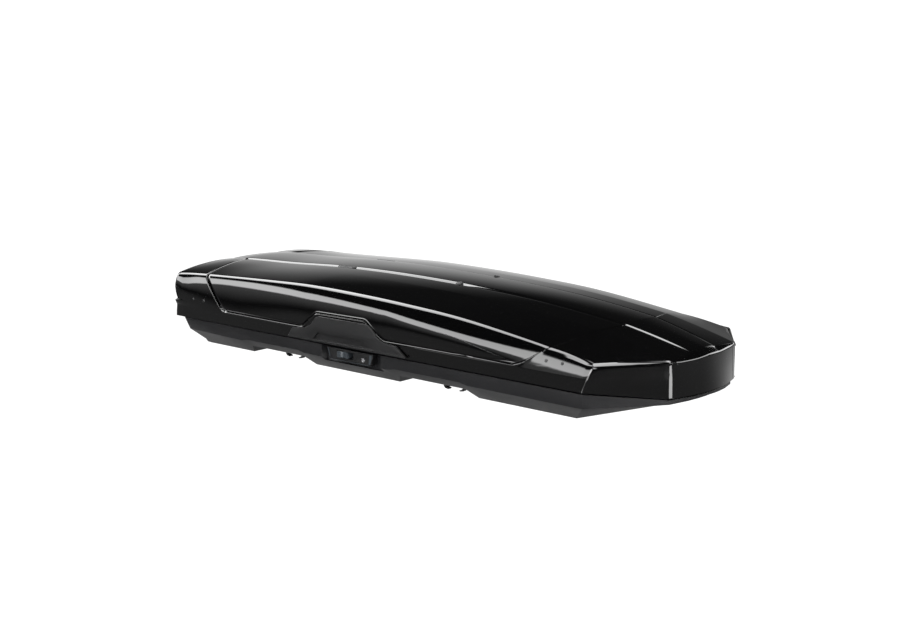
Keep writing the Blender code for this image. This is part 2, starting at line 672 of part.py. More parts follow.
def make_hinges():
    for side, label in SIDES:
        centre = side * HINGE_Y
        length = ROD_BLOCKS[-1][1] - ROD_BLOCKS[0][0] + 0.008
        middle = (ROD_BLOCKS[-1][1] + ROD_BLOCKS[0][0]) / 2
        bm = cylinder_bm((middle, centre, HINGE_Z), HINGE_ROD_R, length, "X", 12)
        rod = add(f"hinge_rod_{label}", mesh_of(bm, label), STEEL)
        skin = side * (HALF_WIDTH - SHELL - GAP)
        for x0, x1 in ROD_BLOCKS:
            boolean(rod, box_bm((x0, min(centre - side * 0.004, skin), HINGE_Z - 0.002),
                                (x1, max(centre - side * 0.004, skin), HINGE_Z + 0.016)), "UNION")
        for x, name in zip(CLAW_STATIONS, ("rear", "middle", "front")):
            bm = outline_bm(claw_outline(side), "YZ", x, CLAW_WIDTH)
            claw = add(f"hinge_claw_{label}_{name}", mesh_of(bm, name), MOULDED)
            boolean(claw, cylinder_bm((x, centre, HINGE_Z), HINGE_ROD_R + 0.0004, 0.04, "X", 12))


def claw_outline(side):
    """A hook over the tray's rim, with the hinge barrel outside and the latch tongue inside."""
    barrel = arc((HINGE_Y, HINGE_Z), 0.0055, -205, 40, 8)
    inner = [(HINGE_Y + 0.0042, 0.1560), (HINGE_Y + 0.0012, 0.1590), (HINGE_Y - 0.028, 0.1590),
             (HINGE_Y - 0.031, 0.1560), (HINGE_Y - 0.031, 0.1180), (HINGE_Y - 0.026, 0.1180),
             (HINGE_Y - 0.026, 0.1530), (HINGE_Y - 0.0045, 0.1530)]
    points = barrel + inner
    return points if side > 0 else mirrored(points)


# ---- lifters --------------------------------------------------------------------------
ARM_THICK = 0.004
LIFTERS = (("rear", BEAM_REAR_X + 0.052), ("front", BEAM_FRONT_X + 0.052))


def strap_outline(route, half):
    """A flat strap of the given half width along a few points, with round ends."""
    left, right = [], []
    for i, point in enumerate(route):
        before = route[max(i - 1, 0)]
        after = route[min(i + 1, len(route) - 1)]
        along = (Vector(after) - Vector(before)).normalized()
        across = Vector((-along.y, along.x)) * half
        left.append(Vector(point) + across)
        right.append(Vector(point) - across)
    start = math.degrees(math.atan2(*(Vector(route[1]) - Vector(route[0])).yx))
    end = math.degrees(math.atan2(*(Vector(route[-1]) - Vector(route[-2])).yx))
    tail = arc(route[0], half, start + 90, start + 270, 6)
    head = arc(route[-1], half, end - 90, end + 90, 6)
    return [tuple(p) for p in right[1:-1]] + head + [tuple(p) for p in reversed(left[1:-1])] + tail


def make_lifters():
    """Folding arms at both ends: a post on the tray, two cranked arms and a hanger on the beam."""
    route = [(0.0, HINGE_Z), (-HINGE_Y + 0.120, HINGE_Z), (-HINGE_Y + 0.060, HINGE_Z + 0.042),
             (-HINGE_Y + 0.010, HINGE_Z + 0.042), (-HINGE_Y, HINGE_Z + 0.024), (-HINGE_Y, HINGE_Z)]
    for name, x in LIFTERS:
        step = ARM_THICK + 0.001
        for arm, offset in (("base", 0.0), ("lid", step)):
            bm = outline_bm(strap_outline(route, 0.0055), "YZ", x + offset, ARM_THICK)
            piece = add(f"lifter_{arm}_arm_{name}", mesh_of(bm, arm), STEEL_DARK)
            boolean(piece, cylinder_bm((x + offset, 0, HINGE_Z), PIN_R + GAP, 0.02, "X", 12))
        make_post(name, x - step)
        beam = BEAM_REAR_X if name == "rear" else BEAM_FRONT_X
        make_hanger(name, x + 2 * step, beam)


def tray_middle_z(x):
    """Height of the tray's underside along its middle."""
    lines = [(floor_point(station, 2.0).x, floor_point(station, 2.0).z) for station in TRAY_STATIONS]
    for (x0, z0), (x1, z1) in zip(lines, lines[1:]):
        if x <= x1:
            return mix(z0, z1, (x - x0) / (x1 - x0))
    return lines[-1][1]


def make_post(name, x):
    low = x - PLATE / 2
    lift = SHELL + 0.0008
    plate = box_bm((low, -POST_HALF, tray_middle_z(low) + lift), (x + PLATE / 2, POST_HALF, HINGE_Z + 0.012))
    post = add(f"lifter_post_{name}", mesh_of(plate, name), STEEL)
    foot = box_bm((x - 0.040, -POST_HALF, 0.0), (x + 0.0012, POST_HALF, PLATE))
    for v in foot.verts:
        v.co.z += tray_middle_z(v.co.x) + lift
    boolean(post, foot, "UNION")
    boolean(post, cylinder_bm((x + 0.0025, 0, HINGE_Z), PIN_R, ARM_THICK + 0.0032, "X", 12), "UNION")


def make_hanger(name, x, beam):
    top = curve_at(RIDGE_Z, beam) - BEAM_DROP - BEAM_PRESS - 0.0015
    plate = box_bm((x - PLATE / 2, -HANGER_HALF, HINGE_Z - 0.012), (x + PLATE / 2, HANGER_HALF, top))
    hanger = add(f"lifter_hanger_{name}", mesh_of(plate, name), STEEL)
    flange = box_bm((beam - 0.010, -HANGER_HALF, top - PLATE), (x + 0.0012, HANGER_HALF, top))
    boolean(hanger, flange, "UNION")
    boolean(hanger, cylinder_bm((x - 0.0025, 0, HINGE_Z), PIN_R, ARM_THICK + 0.0032, "X", 12), "UNION")


# ---- crossbar clamps --------------------------------------------------------------------


def knob_outline(x, y):
    """A lobed hand knob."""
    points = []
    for i in range(40):
        angle = math.tau * i / 40
        radius = KNOB_R + KNOB_LOBE * math.cos(8 * angle)
        points.append((x + radius * math.cos(angle), y + radius * math.sin(angle)))
    return points


def jaw_outline(x, side):
    """A hook that hangs through the slot and curls in under the crossbar."""
    pivot = x + side * JAW_PIVOT_X
    shape = [(-0.007, JAW_PIVOT_Z + 0.007), (0.007, JAW_PIVOT_Z + 0.007), (0.010, JAW_PIVOT_Z - 0.006),
             (0.030, 0.023), (0.031, 0.015), (0.024, 0.007), (0.008, 0.0045), (0.006, 0.0085),
             (0.017, 0.0125), (0.022, 0.0170), (0.019, 0.0240), (-0.002, JAW_PIVOT_Z - 0.012)]
    points = [(pivot + side * a, b) for a, b in shape]
    return points if side > 0 else points[::-1]


def make_clamp(station, end, side, label):
    """One clamp: its body on the channel's floor, its knob, and two hooks through the slot."""
    y = side * CLAMP_Y
    floor = CHANNEL_Z + SHELL + GAP
    length, width = CLAMP_HALF
    bm = box_bm((station - length, y - width, floor), (station + length, y + width, floor + CLAMP_HEIGHT))
    body = add(f"clamp_body_{end}_{label}", mesh_of(bm, end), MOULDED)
    modifier(body, "BEVEL", width=0.004, segments=2, limit_method="ANGLE")
    boolean(body, box_bm((station - 0.060, y - 0.0112, floor - 0.01),
                         (station + 0.060, y + 0.0112, floor + 0.027)))
    boolean(body, cylinder_bm((station, y, floor + 0.03), 0.0058, 0.03, "Z", 12))
    top = floor + CLAMP_HEIGHT + 0.0005
    bm = outline_bm(knob_outline(station, y), "XY", top + KNOB_HEIGHT / 2, KNOB_HEIGHT)
    knob = add(f"clamp_knob_{end}_{label}", mesh_of(bm, end), SLATE)
    modifier(knob, "BEVEL", width=0.002, segments=1, limit_method="ANGLE", angle_limit=math.radians(60))
    boolean(knob, cylinder_bm((station, y, top - 0.008), 0.0050, 0.018, "Z", 12), "UNION")
    for way, which in ((-1, "a"), (1, "b")):
        bm = outline_bm(jaw_outline(station, way), "XZ", y, JAW_WIDTH)
        add(f"clamp_jaw_{end}_{label}_{which}", mesh_of(bm, which), STEEL_DARK)


# ---- joint axes -----------------------------------------------------------------------


def lid_axes():
    """The lid's own axes: each entry is an empty, its place, its parent and its pieces."""
    right, left = Vector((0, -HINGE_Y, HINGE_Z)), Vector((0, HINGE_Y, HINGE_Z))
    pieces = ("lid_", "grip_trim", "groove_insert", "hinge_rod", "lifter_hanger", "rivet")
    axes = [("axis_open_from_right", left, None, ("hinge_claw_right",)),
            ("axis_open_from_left", right, "axis_open_from_right", pieces),
            ("axis_left_claws", left, "axis_open_from_left", ("hinge_claw_left",))]
    for name, x in LIFTERS:
        place = Vector((x, 0, HINGE_Z))
        axes.append((f"axis_base_arm_{name}", place, None, (f"lifter_base_arm_{name}",)))
        axes.append((f"axis_lid_arm_{name}", place, "axis_open_from_left", (f"lifter_lid_arm_{name}",)))
    return axes


def lock_axes():
    face = HALF_WIDTH - BAND_INSET
    axes = []
    for side, label in SIDES:
        slide = Vector((SLIDER_X, side * POCKET_Y, sum(LATCH_Z) / 2))
        key = Vector((KEY_X, side * face, KEY_Z))
        axes.append((f"axis_slide_{label}", slide, None, (f"slide_button_{label}", f"latch_rod_{label}")))
        axes.append((f"axis_key_{label}", key, None, (f"key_cylinder_{label}",)))
    return axes


def clamp_axes(station, end, side, label):
    y = side * CLAMP_Y
    clamp = f"{end}_{label}"
    axes = [(f"axis_knob_{clamp}", Vector((station, y, CHANNEL_Z)), None, (f"clamp_knob_{clamp}",))]
    for way, which in ((-1, "a"), (1, "b")):
        place = Vector((station + way * JAW_PIVOT_X, y, JAW_PIVOT_Z))
        axes.append((f"axis_jaw_{clamp}_{which}", place, None, (f"clamp_jaw_{clamp}_{which}",)))
    return axes


def hang_on_axes(axes):
    """Parents each moving piece, where it lies, to an empty on its joint's axis."""
    places = {None: Vector()}
    pieces = [piece for piece in BOX.objects if piece.type == "MESH"]
    for name, place, parent, starts in axes:
        empty = bpy.data.objects.new(name, None)
        BOX.objects.link(empty)
        empty.empty_display_size = 0.04
        empty.parent = bpy.data.objects.get(parent) if parent else None
        empty.location = place - places[parent]
        places[name] = place
        for piece in pieces:
            if piece.name.startswith(starts):
                piece.parent = empty
                piece.matrix_parent_inverse = Matrix.Translation(-place)


clear_scene()
BOX = new_collection("roof_cargo_box")
CUTTERS = new_collection("cutters")
CUTTERS.hide_render = True
GLOSS = paint("gloss_black", (0.006, 0.006, 0.007), 0.06)
TEXTURED = paint("textured_black", (0.018, 0.018, 0.020), 0.55)
MOULDED = paint("moulded_black", (0.022, 0.022, 0.023), 0.45)
SLATE = paint("slate_plastic", (0.045, 0.052, 0.058), 0.35)
CHROME = paint("chrome", (0.70, 0.70, 0.72), 0.12, 1.0)
STEEL = paint("zinc_steel", (0.45, 0.45, 0.46), 0.35, 1.0)
STEEL_DARK = paint("black_steel", (0.03, 0.03, 0.03), 0.40, 1.0)

make_tray()
make_lid()
make_beams()
make_rivets()
make_trims()
make_groove_inserts()
make_locks()
make_hinges()
make_lifters()
moving = lid_axes() + lock_axes()
for station, end in zip(CLAMP_STATIONS, ("rear", "front")):
    for side, label in SIDES:
        make_clamp(station, end, side, label)
        moving += clamp_axes(station, end, side, label)
hang_on_axes(moving)
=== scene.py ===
import json
import math

import bmesh
import bpy
from mathutils import Matrix, Vector


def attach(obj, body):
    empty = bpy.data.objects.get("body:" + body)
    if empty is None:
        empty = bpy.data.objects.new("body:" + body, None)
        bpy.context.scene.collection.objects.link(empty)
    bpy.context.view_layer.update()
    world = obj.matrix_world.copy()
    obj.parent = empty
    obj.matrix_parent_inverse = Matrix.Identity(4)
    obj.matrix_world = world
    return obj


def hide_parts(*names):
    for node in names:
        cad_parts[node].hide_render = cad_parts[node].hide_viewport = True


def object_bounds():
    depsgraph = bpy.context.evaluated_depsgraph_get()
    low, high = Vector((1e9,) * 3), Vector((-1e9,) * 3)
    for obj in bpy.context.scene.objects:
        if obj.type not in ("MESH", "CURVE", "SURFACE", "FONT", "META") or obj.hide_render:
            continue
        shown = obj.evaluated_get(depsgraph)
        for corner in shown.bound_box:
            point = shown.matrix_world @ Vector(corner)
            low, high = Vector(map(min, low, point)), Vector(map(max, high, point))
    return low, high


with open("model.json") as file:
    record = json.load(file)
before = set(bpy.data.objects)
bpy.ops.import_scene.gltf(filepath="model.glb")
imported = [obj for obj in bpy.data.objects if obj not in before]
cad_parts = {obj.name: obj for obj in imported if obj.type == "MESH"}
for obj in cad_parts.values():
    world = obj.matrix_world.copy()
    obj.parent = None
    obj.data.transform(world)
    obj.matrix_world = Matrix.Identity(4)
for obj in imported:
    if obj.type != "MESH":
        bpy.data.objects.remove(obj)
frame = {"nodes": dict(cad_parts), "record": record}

cadLow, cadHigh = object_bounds()
print("frame loaded,", len(frame["nodes"]), "CAD nodes")

# The roof box lies along X with its nose towards +X; each long side carries a grip and a lock.
sides = {"right": -1, "left": 1}


class Flow:
    # a socket that takes part in sums, so shader maths reads as an expression
    def __init__(self, tree, socket):
        self.tree = tree
        self.socket = socket

    def maths(self, operation, first, second):
        node = self.tree.nodes.new("ShaderNodeMath")
        node.operation = operation
        for slot, value in zip(node.inputs, (first, second)):
            if isinstance(value, Flow):
                self.tree.links.new(value.socket, slot)
            else:
                slot.default_value = value
        return Flow(self.tree, node.outputs[0])

    def __add__(self, other):
        return self.maths("ADD", self, other)

    def __radd__(self, other):
        return self.maths("ADD", other, self)

    def __sub__(self, other):
        return self.maths("SUBTRACT", self, other)

    def __rsub__(self, other):
        return self.maths("SUBTRACT", other, self)

    def __mul__(self, other):
        return self.maths("MULTIPLY", self, other)

    def __rmul__(self, other):
        return self.maths("MULTIPLY", other, self)

    def __truediv__(self, other):
        return self.maths("DIVIDE", self, other)


class Workshop:
    # one tree and the single way of adding nodes to it
    def __init__(self, tree):
        self.tree = tree

    def node(self, kind, settings=None, out=0, **sockets):
        made = self.tree.nodes.new(kind)
        for key, value in (settings or {}).items():
            if key == "stops":
                ramp = made.color_ramp
                for index, (place, shade) in enumerate(value):
                    stop = ramp.elements[index] if index < 2 else ramp.elements.new(place)
                    stop.position = place
                    stop.color = (shade, shade, shade, 1.0)
            else:
                setattr(made, key, value)
        for name, value in sockets.items():
            # n3 is the fourth socket; any other name is the socket's own
            place = int(name[1:]) if name[1:].isdigit() else name.replace("_", " ")
            slot = made.inputs[place]
            if isinstance(value, Flow):
                self.tree.links.new(value.socket, slot)
            else:
                slot.default_value = value
        return Flow(self.tree, made.outputs[out])


def newFinish(name, baseColour, metallic=0.0, ior=1.5):
    material = bpy.data.materials.new(name)
    material.use_nodes = True
    shader = material.node_tree.nodes["Principled BSDF"]
    shader.inputs["Base Color"].default_value = (*baseColour, 1.0)
    shader.inputs["Metallic"].default_value = metallic
    shader.inputs["IOR"].default_value = ior
    bench = Workshop(material.node_tree)
    place = bench.node("ShaderNodeTexCoord", out=3)
    return material, shader, bench, place


def feed(bench, shader, **sockets):
    for name, value in sockets.items():
        bench.tree.links.new(value.socket, shader.inputs[name.replace("_", " ")])


def twoTone(bench, factor, dark, light):
    return bench.node("ShaderNodeMix", {"data_type": "RGBA"}, out=2, Factor=factor,
                      n6=(*dark, 1), n7=(*light, 1))


def between(bench, value, low, high):
    # 0 below low, 1 above high
    return bench.node("ShaderNodeMapRange", Value=value, From_Min=low, From_Max=high)


glossLid = {"black": (0.0012, 0.0012, 0.0014), "dusty": (0.0030, 0.0030, 0.0032), "roughness": 0.045,
            "peelScale": 260.0, "peelHeight": 0.00002, "scratchScale": 34.0}


def finishGlossLid():
    material, shader, bench, place = newFinish("lidGlossBlack", glossLid["black"], ior=1.52)
    peel = bench.node("ShaderNodeTexNoise", Vector=place, Scale=glossLid["peelScale"], Detail=1.0)
    haze = bench.node("ShaderNodeTexNoise", Vector=place, Scale=3.1, Detail=4.0, Roughness=0.62)
    streak = bench.node("ShaderNodeMapping", Vector=place, Scale=(0.6, 26.0, 26.0))
    wiped = bench.node("ShaderNodeTexNoise", Vector=streak, Scale=glossLid["scratchScale"], Detail=2.0)
    cloth = between(bench, wiped, 0.56, 0.80)
    bump = bench.node("ShaderNodeBump", Strength=0.05, Distance=glossLid["peelHeight"], Height=peel)
    feed(bench, shader, Roughness=glossLid["roughness"] + haze * 0.022 + cloth * 0.03,
         Base_Color=twoTone(bench, haze, glossLid["black"], glossLid["dusty"]), Normal=bump)
    return material


# dark colour, light colour, roughness and cells to the metre of each moulded plastic
grain = {"trayGrained": ((0.0060, 0.0060, 0.0070), (0.0110, 0.0110, 0.0122), 0.50, 620.0),
         "mouldedSatin": ((0.0060, 0.0060, 0.0064), (0.0100, 0.0100, 0.0104), 0.50, 1300.0),
         "slateButton": ((0.060, 0.072, 0.084), (0.085, 0.098, 0.110), 0.30, 1700.0),
         "fine": 1900.0, "height": 0.00022}


def finishGrained(name, dark, light, roughness, cell):
    material, shader, bench, place = newFinish(name, dark, ior=1.36)
    pebble = bench.node("ShaderNodeTexVoronoi", {"feature": "SMOOTH_F1"}, Vector=place, Scale=cell,
                        Smoothness=0.6)
    fine = bench.node("ShaderNodeTexNoise", Vector=place, Scale=grain["fine"], Detail=2.0)
    cloud = bench.node("ShaderNodeTexNoise", Vector=place, Scale=5.0, Detail=5.0, Roughness=0.6)
    height = pebble * 0.75 + fine * 0.25
    bump = bench.node("ShaderNodeBump", Strength=0.55, Distance=grain["height"], Height=height)
    scuff = between(bench, cloud, 0.42, 0.70)
    feed(bench, shader, Roughness=roughness - 0.06 * pebble + 0.10 * scuff,
         Base_Color=twoTone(bench, 0.55 * scuff + 0.35 * pebble, dark, light), Normal=bump)
    return material


def finishMetal(name, dark, light, roughness, brushed):
    material, shader, bench, place = newFinish(name, dark, metallic=1.0)
    along = bench.node("ShaderNodeMapping", Vector=place, Scale=brushed)
    lines = bench.node("ShaderNodeTexNoise", Vector=along, Scale=120.0, Detail=3.0)
    bloom = bench.node("ShaderNodeTexVoronoi", Vector=place, Scale=46.0)
    bump = bench.node("ShaderNodeBump", Strength=0.12, Distance=0.00008, Height=lines)
    feed(bench, shader, Roughness=roughness + 0.12 * lines + 0.05 * bloom,
         Base_Color=twoTone(bench, 0.6 * lines + 0.4 * bloom, dark, light), Normal=bump)
    return material


powderCoat = {"paint": (0.020, 0.020, 0.021), "bare": (0.28, 0.28, 0.29)}


def finishPowderCoat():
    material, shader, bench, place = newFinish("blackCoat", powderCoat["paint"])
    speck = bench.node("ShaderNodeTexNoise", Vector=place, Scale=1400.0, Detail=2.0)
    worn = bench.node("ShaderNodeTexNoise", Vector=place, Scale=38.0, Detail=5.0, Roughness=0.7)
    chips = between(bench, worn, 0.66, 0.72)
    bump = bench.node("ShaderNodeBump", Strength=0.3, Distance=0.0001, Height=speck)
    feed(bench, shader, Roughness=0.42 + 0.10 * speck - 0.1 * chips, Metallic=0.85 * chips,
         Base_Color=twoTone(bench, chips, powderCoat["paint"], powderCoat["bare"]), Normal=bump)
    return material


rubber = {"dark": (0.022, 0.022, 0.024), "dusty": (0.050, 0.049, 0.047), "dots": 95.0}


def finishRubber():
    material, shader, bench, place = newFinish("floorMatRubber", rubber["dark"])
    weave = bench.node("ShaderNodeMapping", Vector=place, Rotation=(0.0, 0.0, math.radians(45)))
    dots = bench.node("ShaderNodeTexVoronoi", {"feature": "F1", "distance": "CHEBYCHEV"}, Vector=weave,
                      Scale=rubber["dots"], Randomness=0.0)
    dust = bench.node("ShaderNodeTexNoise", Vector=place, Scale=7.0, Detail=6.0)
    bump = bench.node("ShaderNodeBump", Strength=0.6, Distance=0.0006, Height=dots)
    tone = twoTone(bench, 0.5 * dots + 0.4 * dust, rubber["dark"], rubber["dusty"])
    feed(bench, shader, Roughness=0.78 - 0.1 * dust, Base_Color=tone, Normal=bump)
    return material


finishes = {
    "gloss_black": finishGlossLid(),
    "textured_black": finishGrained("trayGrained", *grain["trayGrained"]),
    "moulded_black": finishGrained("mouldedSatin", *grain["mouldedSatin"]),
    "slate_plastic": finishGrained("slateButton", *grain["slateButton"]),
    "chrome": finishMetal("keyChrome", (0.62, 0.62, 0.64), (0.80, 0.80, 0.82), 0.10, (1.0, 1.0, 1.0)),
    "zinc_steel": finishMetal("zincPlate", (0.36, 0.36, 0.37), (0.55, 0.55, 0.54), 0.28, (0.3, 6.0, 6.0)),
    "black_steel": finishPowderCoat(),
}
matRubber = finishRubber()
slotOf = {part["node"]: part["material_slot"] for part in frame["record"]["subparts"]}
for nodeName, cadNode in frame["nodes"].items():
    cadNode.data.materials.clear()
    cadNode.data.materials.append(finishes[slotOf[nodeName]])
print("finishes made,", len(finishes), "slots")


def curveAt(knots, x):
    if x <= knots[0][0]:
        return knots[0][1]
    for index in range(len(knots) - 1):
        (x0, v0), (x1, v1) = knots[index], knots[index + 1]
        if x <= x1:
            before = knots[index - 1] if index else knots[0]
            after = knots[index + 2] if index + 2 < len(knots) else knots[-1]
            m0 = (v1 - before[1]) / (x1 - before[0])
            m1 = (after[1] - v0) / (after[0] - x0)
            t, width = (x - x0) / (x1 - x0), x1 - x0
            return (v0 * (1 + 2 * t) * (1 - t) ** 2 + v1 * t * t * (3 - 2 * t)
                    + width * (m0 * t * (1 - t) ** 2 - m1 * t * t * (1 - t)))
    return knots[-1][1]


def lineAt(knots, x):
    if x <= knots[0][0]:
        return knots[0][1]
    for (x0, v0), (x1, v1) in zip(knots, knots[1:]):
        if x <= x1:
            return v0 + (v1 - v0) * (x - x0) / (x1 - x0)
    return knots[-1][1]


def mix(a, b, t):
    return a + (b - a) * t


def ease(t):
    t = max(0.0, min(1.0, t))
    return t * t * (3 - 2 * t)


def meshOf(bm, name):
    mesh = bpy.data.meshes.new(name)
    bm.to_mesh(mesh)
    bm.free()
    return mesh


def inScene(name, data):
    piece = bpy.data.objects.new(name, data)
    bpy.context.scene.collection.objects.link(piece)
    return piece


def asObject(bm, name, material, smooth=True):
    mesh = meshOf(bm, name)
    mesh.materials.append(material)
    if smooth:
        mesh.shade_smooth()
        mesh.set_sharp_from_angle(angle=math.radians(32))
    return inScene(name, mesh)


def evaluated(piece):
    bpy.context.view_layer.update()
    graph = bpy.context.evaluated_depsgraph_get()
    return bpy.data.meshes.new_from_object(piece.evaluated_get(graph))


def plain(piece, sharp=32):
    # applies every modifier, leaving a plain mesh
    made = evaluated(piece)
    piece.modifiers.clear()
    piece.data = made
    made.shade_smooth()
    made.set_sharp_from_angle(angle=math.radians(sharp))
    return piece


def modifier(piece, kind, **settings):
    made = piece.modifiers.new(kind.title(), kind)
    for key, value in settings.items():
        setattr(made, key, value)
    return made


def edgesRounded(piece, width, segments=2, angle=30):
    modifier(piece, "BEVEL", width=width, segments=segments, limit_method="ANGLE",
             angle_limit=math.radians(angle))


def settle(piece, body, slot, *nodes):
    # nodes are the CAD parts that the piece stands for
    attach(piece, body)
    if nodes:
        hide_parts(*nodes)
    return piece


# Half of the lid is one grid. Rows run across the box and lean so that they follow the rear
# joint and the front seam; columns run along it, 0 at the shoulder, 1 at the roof groove, 2 in
# the middle. Wall rings hang from the border of that grid. Grooves are then pressed into it.
shell = {
    "halfLength": 1.175, "halfWidth": 0.456, "sideCornerX": 0.953, "noseCorner": (1.138, 0.206),
    "rearRadius": 0.018, "edgeZ": 0.114, "chinZ": 0.078, "facetEnd": 0.624, "wall": 0.0028,
    "first": -1.169, "last": 0.972, "noseEdgeX": 1.154, "noseEdgeZ": 0.203,
    "noseEdgeRise": 0.003, "facetX": 1.136, "crown": 0.0046,
    "shoulderZ": ((-1.175, 0.290), (-1.020, 0.300), (-0.580, 0.316), (-0.400, 0.320), (-0.150, 0.3155),
                  (0.100, 0.306), (0.400, 0.287), (0.747, 0.243), (0.972, 0.209)),
    "shoulderY": ((-1.175, 0.438), (-1.060, 0.420), (-0.600, 0.408), (0.000, 0.412), (0.500, 0.415),
                  (0.972, 0.417)),
    "ridgeZ": ((-1.175, 0.322), (-1.040, 0.330), (-0.806, 0.336), (-0.465, 0.350), (-0.085, 0.350),
               (0.330, 0.335), (0.600, 0.314), (0.878, 0.278), (1.007, 0.250), (1.154, 0.213)),
    "ridgeY": ((-1.175, 0.128), (0.315, 0.102), (0.878, 0.092), (1.154, 0.070)),
    "bandLow": ((-1.17, 0.247), (-1.10, 0.251), (-0.88, 0.270), (-0.50, 0.271), (-0.21, 0.270), (0.06, 0.262),
                (0.22, 0.244), (0.37, 0.230), (0.53, 0.212), (0.70, 0.196), (0.83, 0.176), (0.977, 0.168)),
    "bandHigh": ((-1.17, 0.280), (-0.975, 0.288), (-0.72, 0.296), (-0.50, 0.295), (-0.22, 0.289),
                 (0.05, 0.277), (0.21, 0.262), (0.36, 0.251), (0.52, 0.241), (0.67, 0.233), (0.82, 0.221),
                 (0.977, 0.201)),
    "bandSlopes": (0.335, 0.600, 1.22),
    "footZ": 0.162, "footY": 0.4585, "footStart": 0.120, "rearSkirtZ": 0.182, "rearTuck": 0.024,
    "rearSet": 0.0012, "rearLow": 0.190, "rearX": -1.1715, "rearIn": 0.0035, "noseSideX": 0.967,
    "panelLine": ((-1.20, 0.172), (-0.372, 0.169), (-0.299, 0.229), (-0.033, 0.232), (0.064, 0.171),
                  (1.0, 0.171)),
    "jointTop": -1.068, "jointShoulder": -0.990, "jointLow": -0.852,
    "seamTop": 0.876, "seamShoulder": 0.791, "seamLow": 0.689,
    "cornerRound": 0.016, "spineRise": 0.0032, "panelBulge": (0.007, 0.003), "noseBulge": 0.0035,
    "capBulge": 0.005, "capStart": -0.86,
    "chamferBack": 0.022, "chamferDrop": 0.0075,
    "panelWidth": 0.30, "panelEnd": 0.962, "slopeWidth": 0.10, "straightStart": -0.70,
    "straightEnd": 0.58, "pressReach": 0.02,
}

# each profile is height in metres against distance from the panel's outline, inside positive
jointProfile = ((-0.0088, 0.0), (-0.0076, -0.0004), (-0.0067, -0.0016), (-0.0062, -0.0110), (0.0048, -0.0110),
                (0.0053, -0.0028), (0.0082, -0.0022), (0.0090, -0.0003), (0.0102, 0.0))
lineProfile = ((-0.0108, 0.0), (-0.0086, 0.0010), (-0.0070, 0.0020), (-0.0060, 0.0021), (-0.0047, 0.0016),
               (-0.0014, -0.0008), (-0.0005, -0.0038), (0.0022, -0.0038), (0.0028, -0.0004), (0.0040, 0.0008),
               (0.0066, 0.0))
seamProfile = ((-0.0048, 0.0), (-0.0034, 0.0006), (-0.0022, 0.0007), (-0.0009, -0.0022), (0.0009, -0.0022),
               (0.0014, -0.0003), (0.0024, 0.0))

# the panel's lower line with its corners rounded: each value is the mean of seven around it
lowLineSmooth = [(x / 200, sum(lineAt(shell["panelLine"], x / 200 + d / 1000) for d in range(-9, 10, 3)) / 7)
                 for x in range(-240, 201)]


def panelLine(x):
    return lineAt(lowLineSmooth, x)


def shoulderPoint(x):
    return Vector((x, -curveAt(shell["shoulderY"], x), curveAt(shell["shoulderZ"], x)))


def noseWidth(column):
    # half width of the nose at a column past the facet
    corner, ridge = shell["noseCorner"][1], shell["ridgeY"][-1][1]
    if column <= 1:
        return mix(corner, ridge, (column - shell["facetEnd"]) / (1 - shell["facetEnd"]))
    return mix(ridge, 0.0, column - 1)


def noseEdge(column):
    # the lid's upper edge ahead: a flat facet, then a bowed nose
    start = shoulderPoint(shell["last"])
    end = Vector((shell["facetX"], -shell["noseCorner"][1], shell["noseEdgeZ"]))
    if column <= shell["facetEnd"]:
        return start.lerp(end, column / shell["facetEnd"])
    y = noseWidth(column)
    bow = (shell["noseEdgeX"] - end.x) / end.y ** 2
    z = shell["noseEdgeZ"] + shell["noseEdgeRise"] * (column - shell["facetEnd"])
    return Vector((shell["noseEdgeX"] - bow * y * y, -y, z))


def rearEdgeX(column):
    return mix(shell["rearX"], -shell["halfLength"] + 0.0005, min(1.0, column / 0.12))


def topPoint(x, column):
    seamX = mix(shell["seamShoulder"], shell["seamTop"], min(column, 1.0))
    if x > seamX:
        front, start = noseEdge(column), topPoint(seamX, column)
        share = (x - seamX) / (front.x - seamX)
        point = start.lerp(front, share)
        point.z += shell["noseBulge"] * 4 * share * (1 - share)
        return point
    front, rearX = noseEdge(column), rearEdgeX(column)
    along = (x - rearX) / (front.x - rearX)
    side = shoulderPoint(mix(shell["first"], shell["last"], along))
    ridgeX = mix(-shell["halfLength"], shell["noseEdgeX"], along)
    ridgeY, ridgeZ = -curveAt(shell["ridgeY"], ridgeX), curveAt(shell["ridgeZ"], ridgeX)
    if column > 1:
        share = column - 1
        return Vector((x, ridgeY * (1 - share), ridgeZ + shell["crown"] * share * (2 - share)))
    height = mix(*shell["panelBulge"], along) + shell["capBulge"] * ease((shell["capStart"] - x) / 0.3)
    bulge = height * 4 * column * (1 - column)
    return Vector((x, mix(side.y, ridgeY, column), mix(side.z, ridgeZ, column) + bulge))


